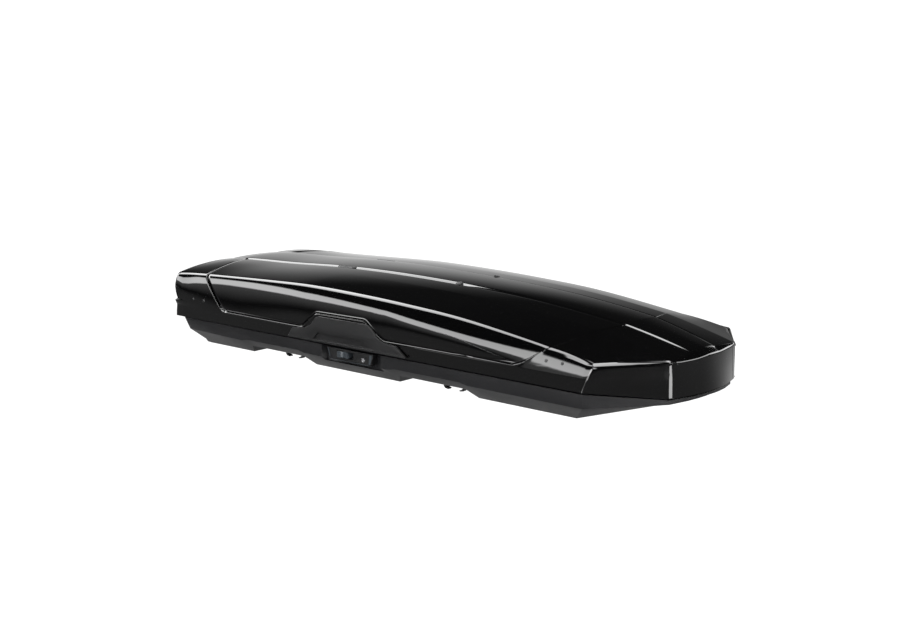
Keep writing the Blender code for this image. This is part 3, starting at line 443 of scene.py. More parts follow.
def wallY(x, z):
    # half width of the side wall: its slope grows from the foot to the shoulder
    side = shoulderPoint(x)
    low, high = lineAt(shell["bandLow"], x), lineAt(shell["bandHigh"], x)
    foot = shell["footZ"]
    rear = ease((-x - 0.95) / 0.2)
    low, high, slopeTop = max(low, foot + 0.006), min(high, side.z - 0.006), shell["bandSlopes"][2]
    slopeLow, slopeHigh, _ = shell["bandSlopes"]
    reach = shell["footY"] - 0.006 * rear + side.y
    upper = (slopeLow + slopeHigh) / 2 * (high - low) + (slopeHigh + slopeTop) / 2 * (side.z - high)
    slopeFoot = 2 * (reach - upper) / (low - foot) - slopeLow
    if slopeFoot > slopeLow:
        slopeFoot = slopeLow
        spare = reach - (slopeLow + slopeHigh) / 2 * (high - low) - slopeLow * (low - foot)
        slopeTop = 2 * spare / (side.z - high) - slopeHigh
    knots = ((foot, slopeFoot), (low, slopeLow), (high, slopeHigh), (side.z, slopeTop))
    if z <= foot:
        flare = ease((z - shell["footStart"]) / (foot - shell["footStart"]))
        return shell["halfWidth"] + (-side.y + reach - shell["halfWidth"]) * flare
    y = -side.y
    for (z0, s0), (z1, s1) in zip(knots, knots[1:]):
        start = max(z, z0)
        if start < z1:
            atStart = mix(s0, s1, (start - z0) / (z1 - z0))
            y += (atStart + s1) / 2 * (z1 - start)
    return y


# A row is two anchor lines, an offset from each and a share between them. The six lines are the
# rear edge, the rear joint, two straight ones, the front seam and the nose.
def anchorX(anchor, column):
    c = min(column, 1.0)
    return (rearEdgeX(column), mix(shell["jointShoulder"], shell["jointTop"], c), shell["straightStart"],
            shell["straightEnd"], mix(shell["seamShoulder"], shell["seamTop"], c), noseEdge(column).x)[anchor]


def anchorLowX(anchor):
    return (shell["rearX"], shell["jointLow"], shell["straightStart"], shell["straightEnd"],
            shell["seamLow"], shell["noseSideX"])[anchor]


def anchorWiden(anchor, onWall):
    # rows beside a leaning joint stand wider apart in x, so that the joint keeps its width
    lean = {1: (1.50, 1.035), 4: (1.66, 1.03)}.get(anchor, (1.0, 1.0))
    return mix(lean[1], lean[0], onWall)


def noseSpread(column):
    return lineAt(((0.0, 1.0), (0.3, 0.5), (0.624, 0.2), (1.0, 1.0), (2.0, 1.0)), column)


def rowX(row, column):
    first, firstOffset, second, secondOffset, share = row
    places = []
    for anchor, offset in ((first, firstOffset), (second, secondOffset)):
        spread = noseSpread(column) if anchor == 5 else anchorWiden(anchor, 0.0 if column > 0 else 0.25)
        places.append(anchorX(anchor, column) + offset * spread)
    return mix(places[0], places[1], share)


def rowLowX(row):
    first, firstOffset, second, secondOffset, share = row
    a = anchorLowX(first) + firstOffset * anchorWiden(first, 1.0)
    b = anchorLowX(second) + secondOffset * anchorWiden(second, 1.0)
    return mix(a, b, share)


def buildRows():
    rearOffsets = [0.0, 0.003, 0.006, 0.009, 0.013, 0.018]
    jointOffsets = [-0.026, -0.018, -0.012] + [d for d, _ in jointProfile]
    jointOffsets += [0.0125, 0.015, 0.018, 0.023, 0.030]
    seamOffsets = [-0.022, -0.015, -0.011, -0.008] + [d for d, _ in seamProfile] + [0.004, 0.008, 0.016]
    noseOffsets = [-0.034, -0.028, -shell["chamferBack"], -0.015, -0.008, 0.0]
    fifths = (0.2, 0.4, 0.6, 0.8)
    rows = [(0, d, 0, d, 0.0) for d in rearOffsets]
    rows += [(0, rearOffsets[-1], 1, jointOffsets[0], t) for t in fifths]
    rows += [(1, d, 1, d, 0.0) for d in jointOffsets]
    rows += [(1, jointOffsets[-1], 2, 0.0, t) for t in fifths]
    straight = [-0.70, -0.64, -0.58, -0.525, -0.47, -0.43, -0.40]
    straight += [-0.386, -0.378, -0.372, -0.366, -0.358, -0.345, -0.330, -0.315, -0.305, -0.299, -0.293]
    straight += [-0.285, -0.26, -0.22, -0.17, -0.12, -0.08, -0.055, -0.043, -0.033, -0.023, -0.010, 0.010]
    straight += [0.030, 0.045, 0.056, 0.064, 0.072, 0.085, 0.105, 0.130, 0.17, 0.22, 0.28, 0.34, 0.40, 0.46]
    straight += [0.52, 0.58]
    start, end = shell["straightStart"], shell["straightEnd"]
    rows += [(2, 0.0, 3, 0.0, (x - start) / (end - start)) for x in straight]
    rows += [(3, 0.0, 4, seamOffsets[0], t) for t in (0.25, 0.5, 0.75)]
    rows += [(4, d, 4, d, 0.0) for d in seamOffsets]
    rows += [(4, seamOffsets[-1], 5, noseOffsets[0], t) for t in fifths]
    rows += [(5, d, 5, d, 0.0) for d in noseOffsets]
    return rows


def buildColumns():
    # spacing across the top in metres becomes a share of the shoulder to groove distance
    near = [d / shell["panelWidth"] for d in (0.0, 0.0125, 0.0165, 0.022, 0.034)]
    panel = [0.2, 0.3, 0.4, 0.5, 0.58, 0.604, shell["facetEnd"], 0.644, 0.67, 0.75, 0.84, 0.9]
    foot = [1 - d / shell["panelWidth"] for d in (0.018, 0.0135, 0.0125, 0.0105, 0.0095, 0.0075)]
    slope = [1.0, 1.040, 1.075, 1.11, 1.15, 1.25, 1.45, 1.7, 2.0]
    return near + panel + foot + slope


def jointDistance(row):
    # signed distances to the rear joint and the front seam, 1 where the row is far from both
    first, firstOffset, second, secondOffset, share = row
    rear, front = 1.0, 1.0
    if first == 1 and second == 1:
        rear = firstOffset
    elif first == 0:
        rear = -1.0
    if first == 4 and second == 4:
        front = -firstOffset
    elif second == 5:
        front = -1.0
    return rear, front


def panelPress(row, low):
    # how far the skin is pushed in or out beside the panel's outline; low is the distance above
    # its lower line
    rear, front = jointDistance(row)
    side, sideProfile = (rear, jointProfile) if rear < front else (front, seamProfile)
    radius = shell["cornerRound"]
    if side < radius and low < radius:
        a, b = radius - side, radius - low
        distance = radius - math.hypot(a, b)
        amount = mix(lineAt(lineProfile, distance), lineAt(sideProfile, distance), a / (a + b))
    else:
        distance, profile = (side, sideProfile) if side < low else (low, lineProfile)
        amount = lineAt(profile, distance)
    return amount if abs(distance) < shell["pressReach"] else 0.0


def spinePress(row, column, x):
    # the spine stands above the panel; a groove runs along its foot and fades towards the nose
    rear, _ = jointDistance(row)
    toNose = noseEdge(column).x - x
    rise = shell["spineRise"] * mix(1.0, 0.55, ease((x + 0.2) / 1.1)) * ease((toNose - 0.020) / 0.020)
    depth = mix(0.0050, 0.0010, ease((x - 0.10) / 0.12)) * ease((toNose - 0.030) / 0.030)
    if rear <= 0.0:
        fromRear = ease((x - rearEdgeX(column)) / 0.08)
        return shell["spineRise"] * fromRear * ease(column if column < 1 else 1.0)
    away = (1 - column) * (shell["panelWidth"] if column <= 1 else shell["slopeWidth"])
    footKnots = ((-0.10, rise), (-0.0145, rise), (-0.0075, rise), (-0.0035, rise * 0.92), (0.0080, -depth),
                 (0.0100, -depth), (0.0122, -0.15 * depth), (0.0135, 0.0), (0.10, 0.0))
    return lineAt(footKnots, away)


def roundRear(point, rearX, sideY, radius):
    u, v = (point.x - rearX) / radius, (sideY - abs(point.y)) / radius
    if u >= 1 or v >= 1:
        return point
    du, dv = 1 - max(u, 0.0), 1 - max(v, 0.0)
    scale = max(du, dv) / max(math.hypot(du, dv), 1e-9)
    return Vector((rearX + radius * (1 - du * scale), -(sideY - radius * (1 - dv * scale)), point.z))


def ringHeights(edge, low, high, slope):
    # heights from the lid's edge to the shoulder; slope widens the spacing where the line climbs
    offsets = [d for d, _ in lineProfile]
    below = [edge, edge + 0.003, mix(edge, low - 0.020, 0.5), low - 0.020, low - 0.012]
    line = [low + d * slope for d in offsets]
    start = line[-1]
    above = [start + 0.0025, start + 0.005, start + 0.008, start + 0.012]
    rest = [mix(above[-1], high, t) for t in (0.12, 0.24, 0.36, 0.48, 0.58, 0.67, 0.75, 0.82)]
    return below + line + above + rest + [high - 0.011, high]


def footOutline(column):
    corner, (noseX, noseY) = Vector((shell["sideCornerX"], -shell["halfWidth"])), shell["noseCorner"]
    if column <= shell["facetEnd"]:
        return corner.lerp(Vector((noseX, -noseY)), column / shell["facetEnd"])
    y, tip = noseWidth(column), shell["halfLength"] - 0.0008
    bow = (tip - noseX) / noseY ** 2
    return Vector((tip - bow * y * y, -y))


def rearProfileX(z, crest):
    # the rear wall: skirt, waist, then out again to the top
    skirt, rear = shell["rearSkirtZ"], -shell["halfLength"] + shell["rearSet"]
    if z <= skirt:
        return rear
    out = ease((z - skirt) / (crest - skirt))
    tuck = shell["rearTuck"] * min(1.0, (z - skirt) / 0.006)
    return rear + tuck * (1 - out) ** 1.2


def gridPoint(row, column):
    # a point of the top with how far it is pressed, before the wall is hung
    x = rowX(row, column)
    point = topPoint(x, column)
    if row[0] == 5 and column > shell["facetEnd"]:
        reach = ease((column - shell["facetEnd"]) / 0.10) * 0.75 + 0.25 * ease((column - 0.65) / 0.35)
        point.z -= shell["chamferDrop"] * reach * max(0.0, 1 + row[1] / shell["chamferBack"])
    point = roundRear(point, rearEdgeX(1.0), -shoulderPoint(x).y, shell["rearRadius"])
    if row[0] == 5 and row[1] == 0.0:
        return point, 0.0
    spine = spinePress(row, column, x)
    panel = panelPress(row, 1.0) if column < shell["panelEnd"] else 0.0
    return point, min(panel, spine) if panel < 0 or spine < 0 else spine


def sideRun(row, top):
    lowX, topX, edge = rowLowX(row), rowX(row, 0.0), shell["edgeZ"]
    high, low = shoulderPoint(max(topX, shell["first"])).z, panelLine(lowX)
    climb = math.hypot(1, (panelLine(lowX + 0.003) - panelLine(lowX - 0.003)) / 0.006)
    ahead = shell["noseSideX"] - shell["seamLow"]
    slide = (shell["noseSideX"] - shell["sideCornerX"]) * max(0.0, (lowX - shell["seamLow"]) / ahead)
    for z in ringHeights(edge, low, high, climb)[:-1]:
        x = mix(lowX, topX, 0.0 if z <= low else (z - low) / (high - low))
        if row[0] >= 4 and z < low:
            x -= slide * (low - z) / (low - edge)
        y = wallY(min(x, shell["last"]), z)
        rearX = rearProfileX(z, high) + shell["rearIn"]
        yield roundRear(Vector((x, -y, z)), rearX, y, shell["rearRadius"]), panelPress(row, (z - low) / climb)


def rearRun(column, top):
    sideZ, fade = shoulderPoint(shell["first"]).z, ease(column / 0.13)
    across = abs(topPoint(rearEdgeX(column), column).y) / -shoulderPoint(-1.16).y
    sideHeights = ringHeights(shell["edgeZ"], panelLine(-1.17), sideZ, 1.0)
    heights = ringHeights(shell["edgeZ"], shell["rearLow"], top.z, 1.0)
    for sideLevel, z in zip(sideHeights[:-1], heights):
        level = mix(sideLevel, z, fade)
        y = wallY(-1.17, min(level, sideZ))
        rearX = rearProfileX(level, mix(sideZ, top.z, fade)) + shell["rearIn"] * (1 - fade)
        yield roundRear(Vector((rearX, -across * y, level)), rearX, y, shell["rearRadius"]), 0.0


def noseRun(column, top):
    foot, side, noseX = footOutline(column), shoulderPoint(shell["last"]), shell["noseSideX"]
    lean = min(1.0, column / shell["facetEnd"])
    edge = mix(shell["edgeZ"], shell["chinZ"], lean)
    low = mix(panelLine(noseX), mix(edge, top.z, 0.62), ease(lean))
    sideHeights = ringHeights(shell["edgeZ"], panelLine(noseX), side.z, 1.0)
    for sideZ, z in zip(sideHeights[:-1], ringHeights(edge, low, top.z, 1.0)):
        share = (z - edge) / (top.z - edge)
        sideShare = (sideZ - shell["edgeZ"]) / (side.z - shell["edgeZ"])
        bulge = (wallY(noseX, sideZ) - mix(shell["halfWidth"], -side.y, sideShare)) * (1 - lean)
        x, y = mix(foot.x, top.x, share) + bulge * 0.6, mix(foot.y, top.y, share) - bulge * 0.8
        yield Vector((x, y, z)), 0.0


def makeLidShell():
    rows, columns = buildRows(), buildColumns()
    bm = bmesh.new()
    weight = bm.edges.layers.float.new("bevel_weight_edge")
    press = {}

    def addVert(point, amount):
        vert = bm.verts.new(point)
        press[vert] = amount
        return vert

    patch = [[addVert(*gridPoint(row, column)) for column in columns] for row in rows]
    last, middle = len(rows) - 1, len(columns) - 1
    border = [(rearRun, patch[0][j], columns[j]) for j in range(middle, 0, -1)]
    border += [(sideRun, patch[i][0], rows[i]) for i in range(last)]
    border += [(noseRun, patch[last][j], columns[j]) for j in range(middle + 1)]
    runs = [[addVert(*made) for made in run(key, crest.co.copy())] + [crest] for run, crest, key in border]
    rings = list(zip(*runs))
    for ring, above in zip(rings, rings[1:]):
        for k in range(len(border) - 1):
            bm.faces.new((ring[k], ring[k + 1], above[k + 1], above[k]))
    for i in range(last):
        for j in range(middle):
            bm.faces.new((patch[i][j], patch[i + 1][j], patch[i + 1][j + 1], patch[i][j + 1]))
    bmesh.ops.recalc_face_normals(bm, faces=bm.faces)
    bm.normal_update()
    if patch[20][10].normal.z < 0:
        bmesh.ops.reverse_faces(bm, faces=bm.faces)
        bm.normal_update()
    directions = {vert: vert.normal.copy() for vert in bm.verts}
    for vert, amount in press.items():
        if amount:
            vert.co += directions[vert] * amount
    markEdges(bm, weight, rings, patch, columns, rows)
    lid = asObject(bm, "lidShell", finishes["gloss_black"])
    modifier(lid, "MIRROR", use_axis=(False, True, False), merge_threshold=0.0002)
    modifier(lid, "BEVEL", width=lidEdges["unit"], segments=4, limit_method="WEIGHT", use_clamp_overlap=False)
    modifier(lid, "SOLIDIFY", thickness=shell["wall"], offset=-1.0)
    return plain(lid, 40)


# bevel widths along the lid's edges, each a multiple of the unit
lidEdges = {"unit": 0.010, "shoulder": 0.85, "facetTop": 0.55, "noseCorner": 2.4, "sideCorner": 0.55,
            "chamfer": 0.25}


def weigh(bm, weight, verts, amount):
    for a, b in zip(verts, verts[1:]):
        edge = bm.edges.get((a, b))
        if edge:
            edge[weight] = amount


def markEdges(bm, weight, rings, patch, columns, rows):
    corner = len(columns) - 1
    sideEnd = corner + len(rows) - 1
    weigh(bm, weight, rings[-1][:sideEnd + 1], lidEdges["shoulder"])
    weigh(bm, weight, rings[-1][sideEnd:], lidEdges["facetTop"])
    noseColumn = columns.index(shell["facetEnd"])
    weigh(bm, weight, [ring[sideEnd] for ring in rings], lidEdges["sideCorner"])
    weigh(bm, weight, [ring[sideEnd + noseColumn] for ring in rings], lidEdges["noseCorner"])
    chamferRow = next(i for i, row in enumerate(rows) if row[0] == 5 and row[1] == -shell["chamferBack"])
    weigh(bm, weight, patch[chamferRow][noseColumn + 1:columns.index(1.0) + 1], lidEdges["chamfer"])


lidShell = settle(makeLidShell(), "lid", "gloss_black", "lid_shell")
print("lid shell,", len(lidShell.data.polygons), "faces")


# small CAD parts are copied with their edges rounded: name's start, edge width and slot
softened = {
    "hinge_claw": (0.0008, "moulded_black"), "hinge_rod": (0.0004, "zinc_steel"),
    "latch_rod": (0.0005, "zinc_steel"), "lifter_post": (0.0006, "zinc_steel"),
    "lifter_hanger": (0.0006, "zinc_steel"), "lifter_base_arm": (0.0007, "black_steel"),
    "lifter_lid_arm": (0.0007, "black_steel"), "lid_beam": (0.0005, "zinc_steel"),
    "clamp_body": (0.0020, "moulded_black"), "clamp_knob": (0.0018, "slate_plastic"),
    "clamp_jaw": (0.0010, "black_steel"), "key_cylinder": (0.0003, "chrome"),
    "slide_button": (0.0011, "slate_plastic"), "lock_housing": (0.0009, "moulded_black"),
}
bodies = frame["record"]["behaviour"]["bodies"]
bodyOf = {nodeName: bodyName for bodyName, held in bodies.items() for nodeName in held}


def camel(name):
    first, *rest = name.split("_")
    return first + "".join(word.title() for word in rest)


def mergedCopy(nodeName, flat):
    # the CAD node's loose triangles joined, with faces that lean less than flat degrees made one
    bm = bmesh.new()
    bm.from_mesh(frame["nodes"][nodeName].data)
    bmesh.ops.remove_doubles(bm, verts=bm.verts, dist=0.00002)
    bmesh.ops.dissolve_limit(bm, angle_limit=math.radians(flat), verts=bm.verts, edges=bm.edges)
    return bm


def soften(nodeName, width, slot):
    piece = asObject(mergedCopy(nodeName, 1.0), camel(nodeName), finishes[slot])
    edgesRounded(piece, width, 2, 28)
    return settle(plain(piece, 35), bodyOf[nodeName], slot, nodeName)


small = [soften(nodeName, width, slot) for stem, (width, slot) in softened.items()
         for nodeName in frame["nodes"] if nodeName.startswith(stem)]
print("small parts rounded,", len(small))


# the rear wall of the tray draws in below the rim: metres moved in, against height
trayShape = {"edge": 0.0028, "rearStart": -1.00, "rearEnd": -1.12, "across": 0.75,
             "inner": 0.30, "fade": 0.08,
             "drawIn": ((0.0, 0.0), (0.020, 0.012), (0.060, 0.027), (0.090, 0.022), (0.1035, 0.014),
                        (0.1065, 0.011), (0.1076, 0.0))}


def makeTray():
    bm = mergedCopy("base_tray", 0.6)
    for vert in bm.verts:
        place = vert.co
        reach = ease((trayShape["rearStart"] - place.x) / (trayShape["rearStart"] - trayShape["rearEnd"]))
        inward = lineAt(trayShape["drawIn"], place.z) * reach
        outer = ease((abs(place.y) - trayShape["inner"]) / trayShape["fade"])
        place.x += inward
        place.y -= math.copysign(inward * trayShape["across"], place.y) * outer
    tray = asObject(bm, "trayShell", finishes["textured_black"])
    edgesRounded(tray, trayShape["edge"], 3, 16)
    return plain(tray, 35)


trayShell = settle(makeTray(), "base", "textured_black", "base_tray")
print("tray,", len(trayShell.data.polygons), "faces")


grip = {
    "outline": ((-0.449, 0.1195), (-0.422, 0.158), (-0.349, 0.165), (-0.315, 0.184), (-0.289, 0.213),
                (-0.273, 0.2195), (-0.019, 0.2195), (0.003, 0.211), (0.039, 0.177), (0.065, 0.165),
                (0.133, 0.158), (0.183, 0.1195)),
    "recess": ((-0.303, 0.1285), (-0.276, 0.156), (-0.035, 0.156), (0.012, 0.1285)),
    "ledge": ((-0.4475, 0.1196), (-0.4420, 0.1275), (0.1760, 0.1275), (0.1815, 0.1196)),
    "back": 0.4596, "front": 0.4694, "ledgeFront": 0.4702, "recessDepth": 0.0068, "lean": 32,
    "ribStart": -0.4365, "ribZ": 0.1235, "ribRun": 0.602, "ribPitch": 0.0062,
    "ribSize": (0.0016, 0.0006, 0.0058),
}


def prism(bm, points, y0, y1, taper=0.0):
    # an outline in the XZ plane between two depths; the front may be drawn in by taper
    middle = Vector((sum(p[0] for p in points) / len(points), sum(p[1] for p in points) / len(points)))
    back = [bm.verts.new((x, y0, z)) for x, z in points]
    front = []
    for x, z in points:
        toMiddle = (middle - Vector((x, z))).normalized() * taper
        front.append(bm.verts.new((x + toMiddle.x, y1, z + toMiddle.y)))
    faces = [bm.faces.new(back), bm.faces.new(front[::-1])]
    for i in range(len(points)):
        j = (i + 1) % len(points)
        faces.append(bm.faces.new((back[j], back[i], front[i], front[j])))
    bmesh.ops.recalc_face_normals(bm, faces=faces)


def makeGrip(side, sign):
    face = grip["front"]
    bm = bmesh.new()
    prism(bm, grip["outline"], sign * grip["back"], sign * face, 0.0012)
    trimAndPaintedHighlight = asObject(bm, f"gripTrim{side.title()}", finishes["moulded_black"])
    bm = bmesh.new()
    prism(bm, grip["recess"], sign * (face - grip["recessDepth"]), sign * (face + 0.01))
    helper = inScene("recess", meshOf(bm, "recess"))
    modifier(trimAndPaintedHighlight, "BOOLEAN", operation="DIFFERENCE", solver="EXACT", object=helper)
    edgesRounded(trimAndPaintedHighlight, 0.0013, 3)
    plain(trimAndPaintedHighlight, 35)
    bpy.data.objects.remove(helper)
    settle(trimAndPaintedHighlight, "lid", "moulded_black", f"grip_trim_{side}")
    bm = bmesh.new()
    prism(bm, grip["ledge"], sign * (face - 0.001), sign * grip["ledgeFront"])
    ledge = asObject(bm, f"gripLedge{side.title()}", finishes["moulded_black"])
    edgesRounded(ledge, 0.0004)
    settle(plain(ledge), "lid", "moulded_black")
    makeRibs(side, sign)


def geometryTree(name, inputs):
    tree = bpy.data.node_groups.new(name, "GeometryNodeTree")
    tree.is_modifier = True
    tree.interface.new_socket("Geometry", in_out="INPUT", socket_type="NodeSocketGeometry")
    keys = {label: tree.interface.new_socket(label, in_out="INPUT", socket_type=kind).identifier
            for label, kind in inputs.items()}
    tree.interface.new_socket("Geometry", in_out="OUTPUT", socket_type="NodeSocketGeometry")
    bench = Workshop(tree)
    entry = tree.nodes.new("NodeGroupInput")
    feeds = {label: Flow(tree, entry.outputs[label]) for label in inputs}
    feeds["Geometry"] = Flow(tree, entry.outputs["Geometry"])
    return tree, bench, feeds, keys


def closeTree(tree, bench, last, material):
    real = bench.node("GeometryNodeRealizeInstances", n0=last)
    done = bench.node("GeometryNodeSetMaterial", n0=real, n2=material)
    leave = tree.nodes.new("NodeGroupOutput")
    tree.links.new(done.socket, leave.inputs[0])


def growPiece(name, seedMesh, tree, keys, values, material, sharp=32):
    piece = inScene(name, seedMesh)
    made = modifier(piece, "NODES", node_group=tree)
    for label, value in values.items():
        made[keys[label]] = value
    plain(piece, sharp)
    piece.data.materials.clear()
    piece.data.materials.append(material)
    return piece


def ribTree():
    kinds = {"Count": "NodeSocketInt", "Pitch": "NodeSocketFloat", "Lean": "NodeSocketFloat",
             "Size": "NodeSocketVector", "Start": "NodeSocketVector"}
    tree, bench, feeds, keys = geometryTree("ribRow", kinds)
    step = bench.node("ShaderNodeCombineXYZ", X=feeds["Pitch"])
    row = bench.node("GeometryNodeMeshLine", {"mode": "OFFSET"}, Count=feeds["Count"],
                     Start_Location=feeds["Start"], Offset=step)
    rib = bench.node("GeometryNodeMeshCube", Size=feeds["Size"])
    lean = bench.node("ShaderNodeCombineXYZ", Y=feeds["Lean"])
    many = bench.node("GeometryNodeInstanceOnPoints", Points=row, Instance=rib, Rotation=lean)
    closeTree(tree, bench, many, finishes["moulded_black"])
    return tree, keys


ribRow, ribKeys = ribTree()


def makeRibs(side, sign):
    ribs = growPiece(f"gripRibs{side.title()}", bpy.data.meshes.new("ribSeed"), ribRow, ribKeys, {
        "Count": int(grip["ribRun"] / grip["ribPitch"]), "Pitch": grip["ribPitch"],
        "Lean": math.radians(grip["lean"]), "Size": grip["ribSize"],
        "Start": (grip["ribStart"], sign * grip["ledgeFront"], grip["ribZ"])}, finishes["moulded_black"])
    settle(ribs, "lid", "moulded_black")


for side, sign in sides.items():
    makeGrip(side, sign)
print("grips")

# painted highlights on the lock's bezel: thin raised strips in the light slate colour along a thumb scoop's
# edge, a chamfer at the other end and a sill, put where these edges catch the light
lockPaintedHighlights = {"back": 0.4426, "front": 0.4440, "taper": 0.0005,
            "lines": (((-0.2475, 0.0985), (-0.2440, 0.0990), (-0.2385, 0.0840), (-0.2345, 0.0660),
                       (-0.2375, 0.0655), (-0.2435, 0.0800)),
                      ((-0.0300, 0.0620), (-0.0215, 0.0620), (-0.0105, 0.0985), (-0.0240, 0.0985)),
                      ((-0.2330, 0.0572), (-0.2330, 0.0586), (-0.0290, 0.0586), (-0.0290, 0.0572)))}

for side, sign in sides.items():
    bm = bmesh.new()
    for outline in lockPaintedHighlights["lines"]:
        prism(bm, outline, sign * lockPaintedHighlights["back"], sign * lockPaintedHighlights["front"], lockPaintedHighlights["taper"])
    # the slate finish on these strips is a painted highlight, not the housing's own colour
    trimAndPaintedHighlight = asObject(bm, f"lockPaintedHighlights{side.title()}", finishes["slate_plastic"])
    settle(trimAndPaintedHighlight, "base", "slate_plastic")
print("lock paintedHighlights")


rivet = {"stations": (-1.039, -0.973, 0.799, 0.865), "z": 0.198, "lift": 0.0004,
         "sizes": {"Radius": 0.0060, "Flange": 0.0007, "Dome": 0.0024}, "domeShare": 0.62}


def wallNormal(x, z, sign):
    step = 0.002
    alongX = (wallY(x + step, z) - wallY(x - step, z)) / (2 * step)
    alongZ = (wallY(x, z + step) - wallY(x, z - step)) / (2 * step)
    return Vector((-alongX, sign, -alongZ)).normalized()


def rivetTree():
    kinds = {label: "NodeSocketFloat" for label in rivet["sizes"]}
    tree, bench, feeds, keys = geometryTree("rivetHeads", kinds)
    points = bench.node("GeometryNodeMeshToPoints", Mesh=feeds["Geometry"])
    facing = bench.node("GeometryNodeInputNamedAttribute", {"data_type": "FLOAT_VECTOR"}, Name="facing")
    turn = bench.node("FunctionNodeAlignRotationToVector", {"axis": "Z"}, Vector=facing)
    disc = bench.node("GeometryNodeMeshCylinder", Vertices=24, Radius=feeds["Radius"], Depth=feeds["Flange"])
    domeRadius = feeds["Radius"] * rivet["domeShare"]
    ball = bench.node("GeometryNodeMeshUVSphere", Segments=20, Rings=10, Radius=domeRadius)
    flat = bench.node("ShaderNodeCombineXYZ", X=1.0, Y=1.0, Z=feeds["Dome"] / domeRadius)
    dome = bench.node("GeometryNodeTransform", n0=ball, Scale=flat)
    join = tree.nodes.new("GeometryNodeJoinGeometry")
    tree.links.new(disc.socket, join.inputs[0])
    tree.links.new(dome.socket, join.inputs[0])
    head = Flow(tree, join.outputs[0])
    many = bench.node("GeometryNodeInstanceOnPoints", Points=points, Instance=head, Rotation=turn)
    closeTree(tree, bench, many, finishes["black_steel"])
    return tree, keys


def makeRivets():
    tree, keys = rivetTree()
    seed = bpy.data.meshes.new("rivetSeed")
    places, facings, z = [], [], rivet["z"]
    for sign in sides.values():
        for x in rivet["stations"]:
            normal = wallNormal(x, z, sign)
            places.append(Vector((x, sign * wallY(x, z), z)) + normal * rivet["lift"])
            facings += list(normal)
    seed.from_pydata(places, [], [])
    seed.attributes.new("facing", "FLOAT_VECTOR", "POINT").data.foreach_set("vector", facings)
    heads = growPiece("rivetHeads", seed, tree, keys, rivet["sizes"], finishes["black_steel"])
    settle(heads, "lid", "black_steel", *[name for name in frame["nodes"] if name.startswith("rivet_")])


makeRivets()
print("rivets")


groovePieces = {"long": {"x": -0.469, "length": 0.100, "slant": 0.020, "parts": 12, "edge": 0.0007},
                "short": {"x": 0.130, "out": 0.006, "radius": 0.0165, "chamfer": 0.0035, "height": 0.0085,
                          "tip": 16, "lift": 0.0015, "edge": 0.0012}}


def makeLongCap(side, sign):
    # a section carried along the groove, its ends slanted across it
    cap, spine = groovePieces["long"], shell["spineRise"]
    bm = bmesh.new()
    lines = []
    for i in range(cap["parts"] + 1):
        share = i / cap["parts"]
        x = cap["x"] + (share - 0.5) * cap["length"]
        y, z = curveAt(shell["ridgeY"], x), curveAt(shell["ridgeZ"], x)
        drop = z - topPoint(x, 1 - 0.0125 / shell["panelWidth"]).z
        slant = (0.5 - share) * cap["slant"]
        section = [(0.0140, -drop - 0.003, slant), (0.0140, -drop + 0.0006, slant),
                   (0.0090, -drop + 0.0022, slant), (-0.0005, spine - 0.0004, 0), (-0.0035, spine + 0.0010, 0),
                   (-0.0070, spine + 0.0010, 0), (-0.0070, spine - 0.004, 0)]
        lines.append([bm.verts.new((x + shift, sign * (y + away), z + lift))
                      for away, lift, shift in section])
    for a, b in zip(lines, lines[1:]):
        for i in range(len(a)):
            j = (i + 1) % len(a)
            bm.faces.new((a[i], b[i], b[j], a[j]))
    bm.faces.new(lines[0])
    bm.faces.new(lines[-1][::-1])
    bmesh.ops.recalc_face_normals(bm, faces=bm.faces)
    piece = asObject(bm, f"grooveCapLong{side.title()}", finishes["moulded_black"])
    edgesRounded(piece, cap["edge"])
    settle(plain(piece), "lid", "moulded_black", f"groove_insert_long_{side}")


def makePlug(side, sign):
    # a six-sided plug lying in the groove, tipped towards the outside
    cap = groovePieces["short"]
    y, z = curveAt(shell["ridgeY"], cap["x"]), curveAt(shell["ridgeZ"], cap["x"])
    bm = bmesh.new()
    bmesh.ops.create_cone(bm, cap_ends=True, segments=6, radius1=cap["radius"],
                          radius2=cap["radius"] - cap["chamfer"], depth=cap["height"])
    tip = Matrix.Rotation(-sign * math.radians(cap["tip"]), 4, "X")
    place = Matrix.Translation((cap["x"], sign * (y + cap["out"]), z + cap["lift"]))
    bmesh.ops.transform(bm, matrix=place @ tip, verts=bm.verts)
    piece = asObject(bm, f"groovePlug{side.title()}", finishes["moulded_black"])
    edgesRounded(piece, cap["edge"], 3)
    settle(plain(piece), "lid", "moulded_black", f"groove_insert_short_{side}")


for side, sign in sides.items():
    makeLongCap(side, sign)
    makePlug(side, sign)
print("groove caps and plugs")

# each mat's two ends, half width and height of the floor under it
floorMats = {"Rear": (-0.712, -0.430, 0.300, 0.0374), "Middle": (-0.370, 0.054, 0.335, 0.0034),
             "Front": (0.112, 0.404, 0.300, 0.0374)}
matSheet = {"thick": 0.0024, "edge": 0.0008, "pitch": 0.0125, "ribWidth": 0.0042, "ribHeight": 0.0014,
            "margin": 0.012}


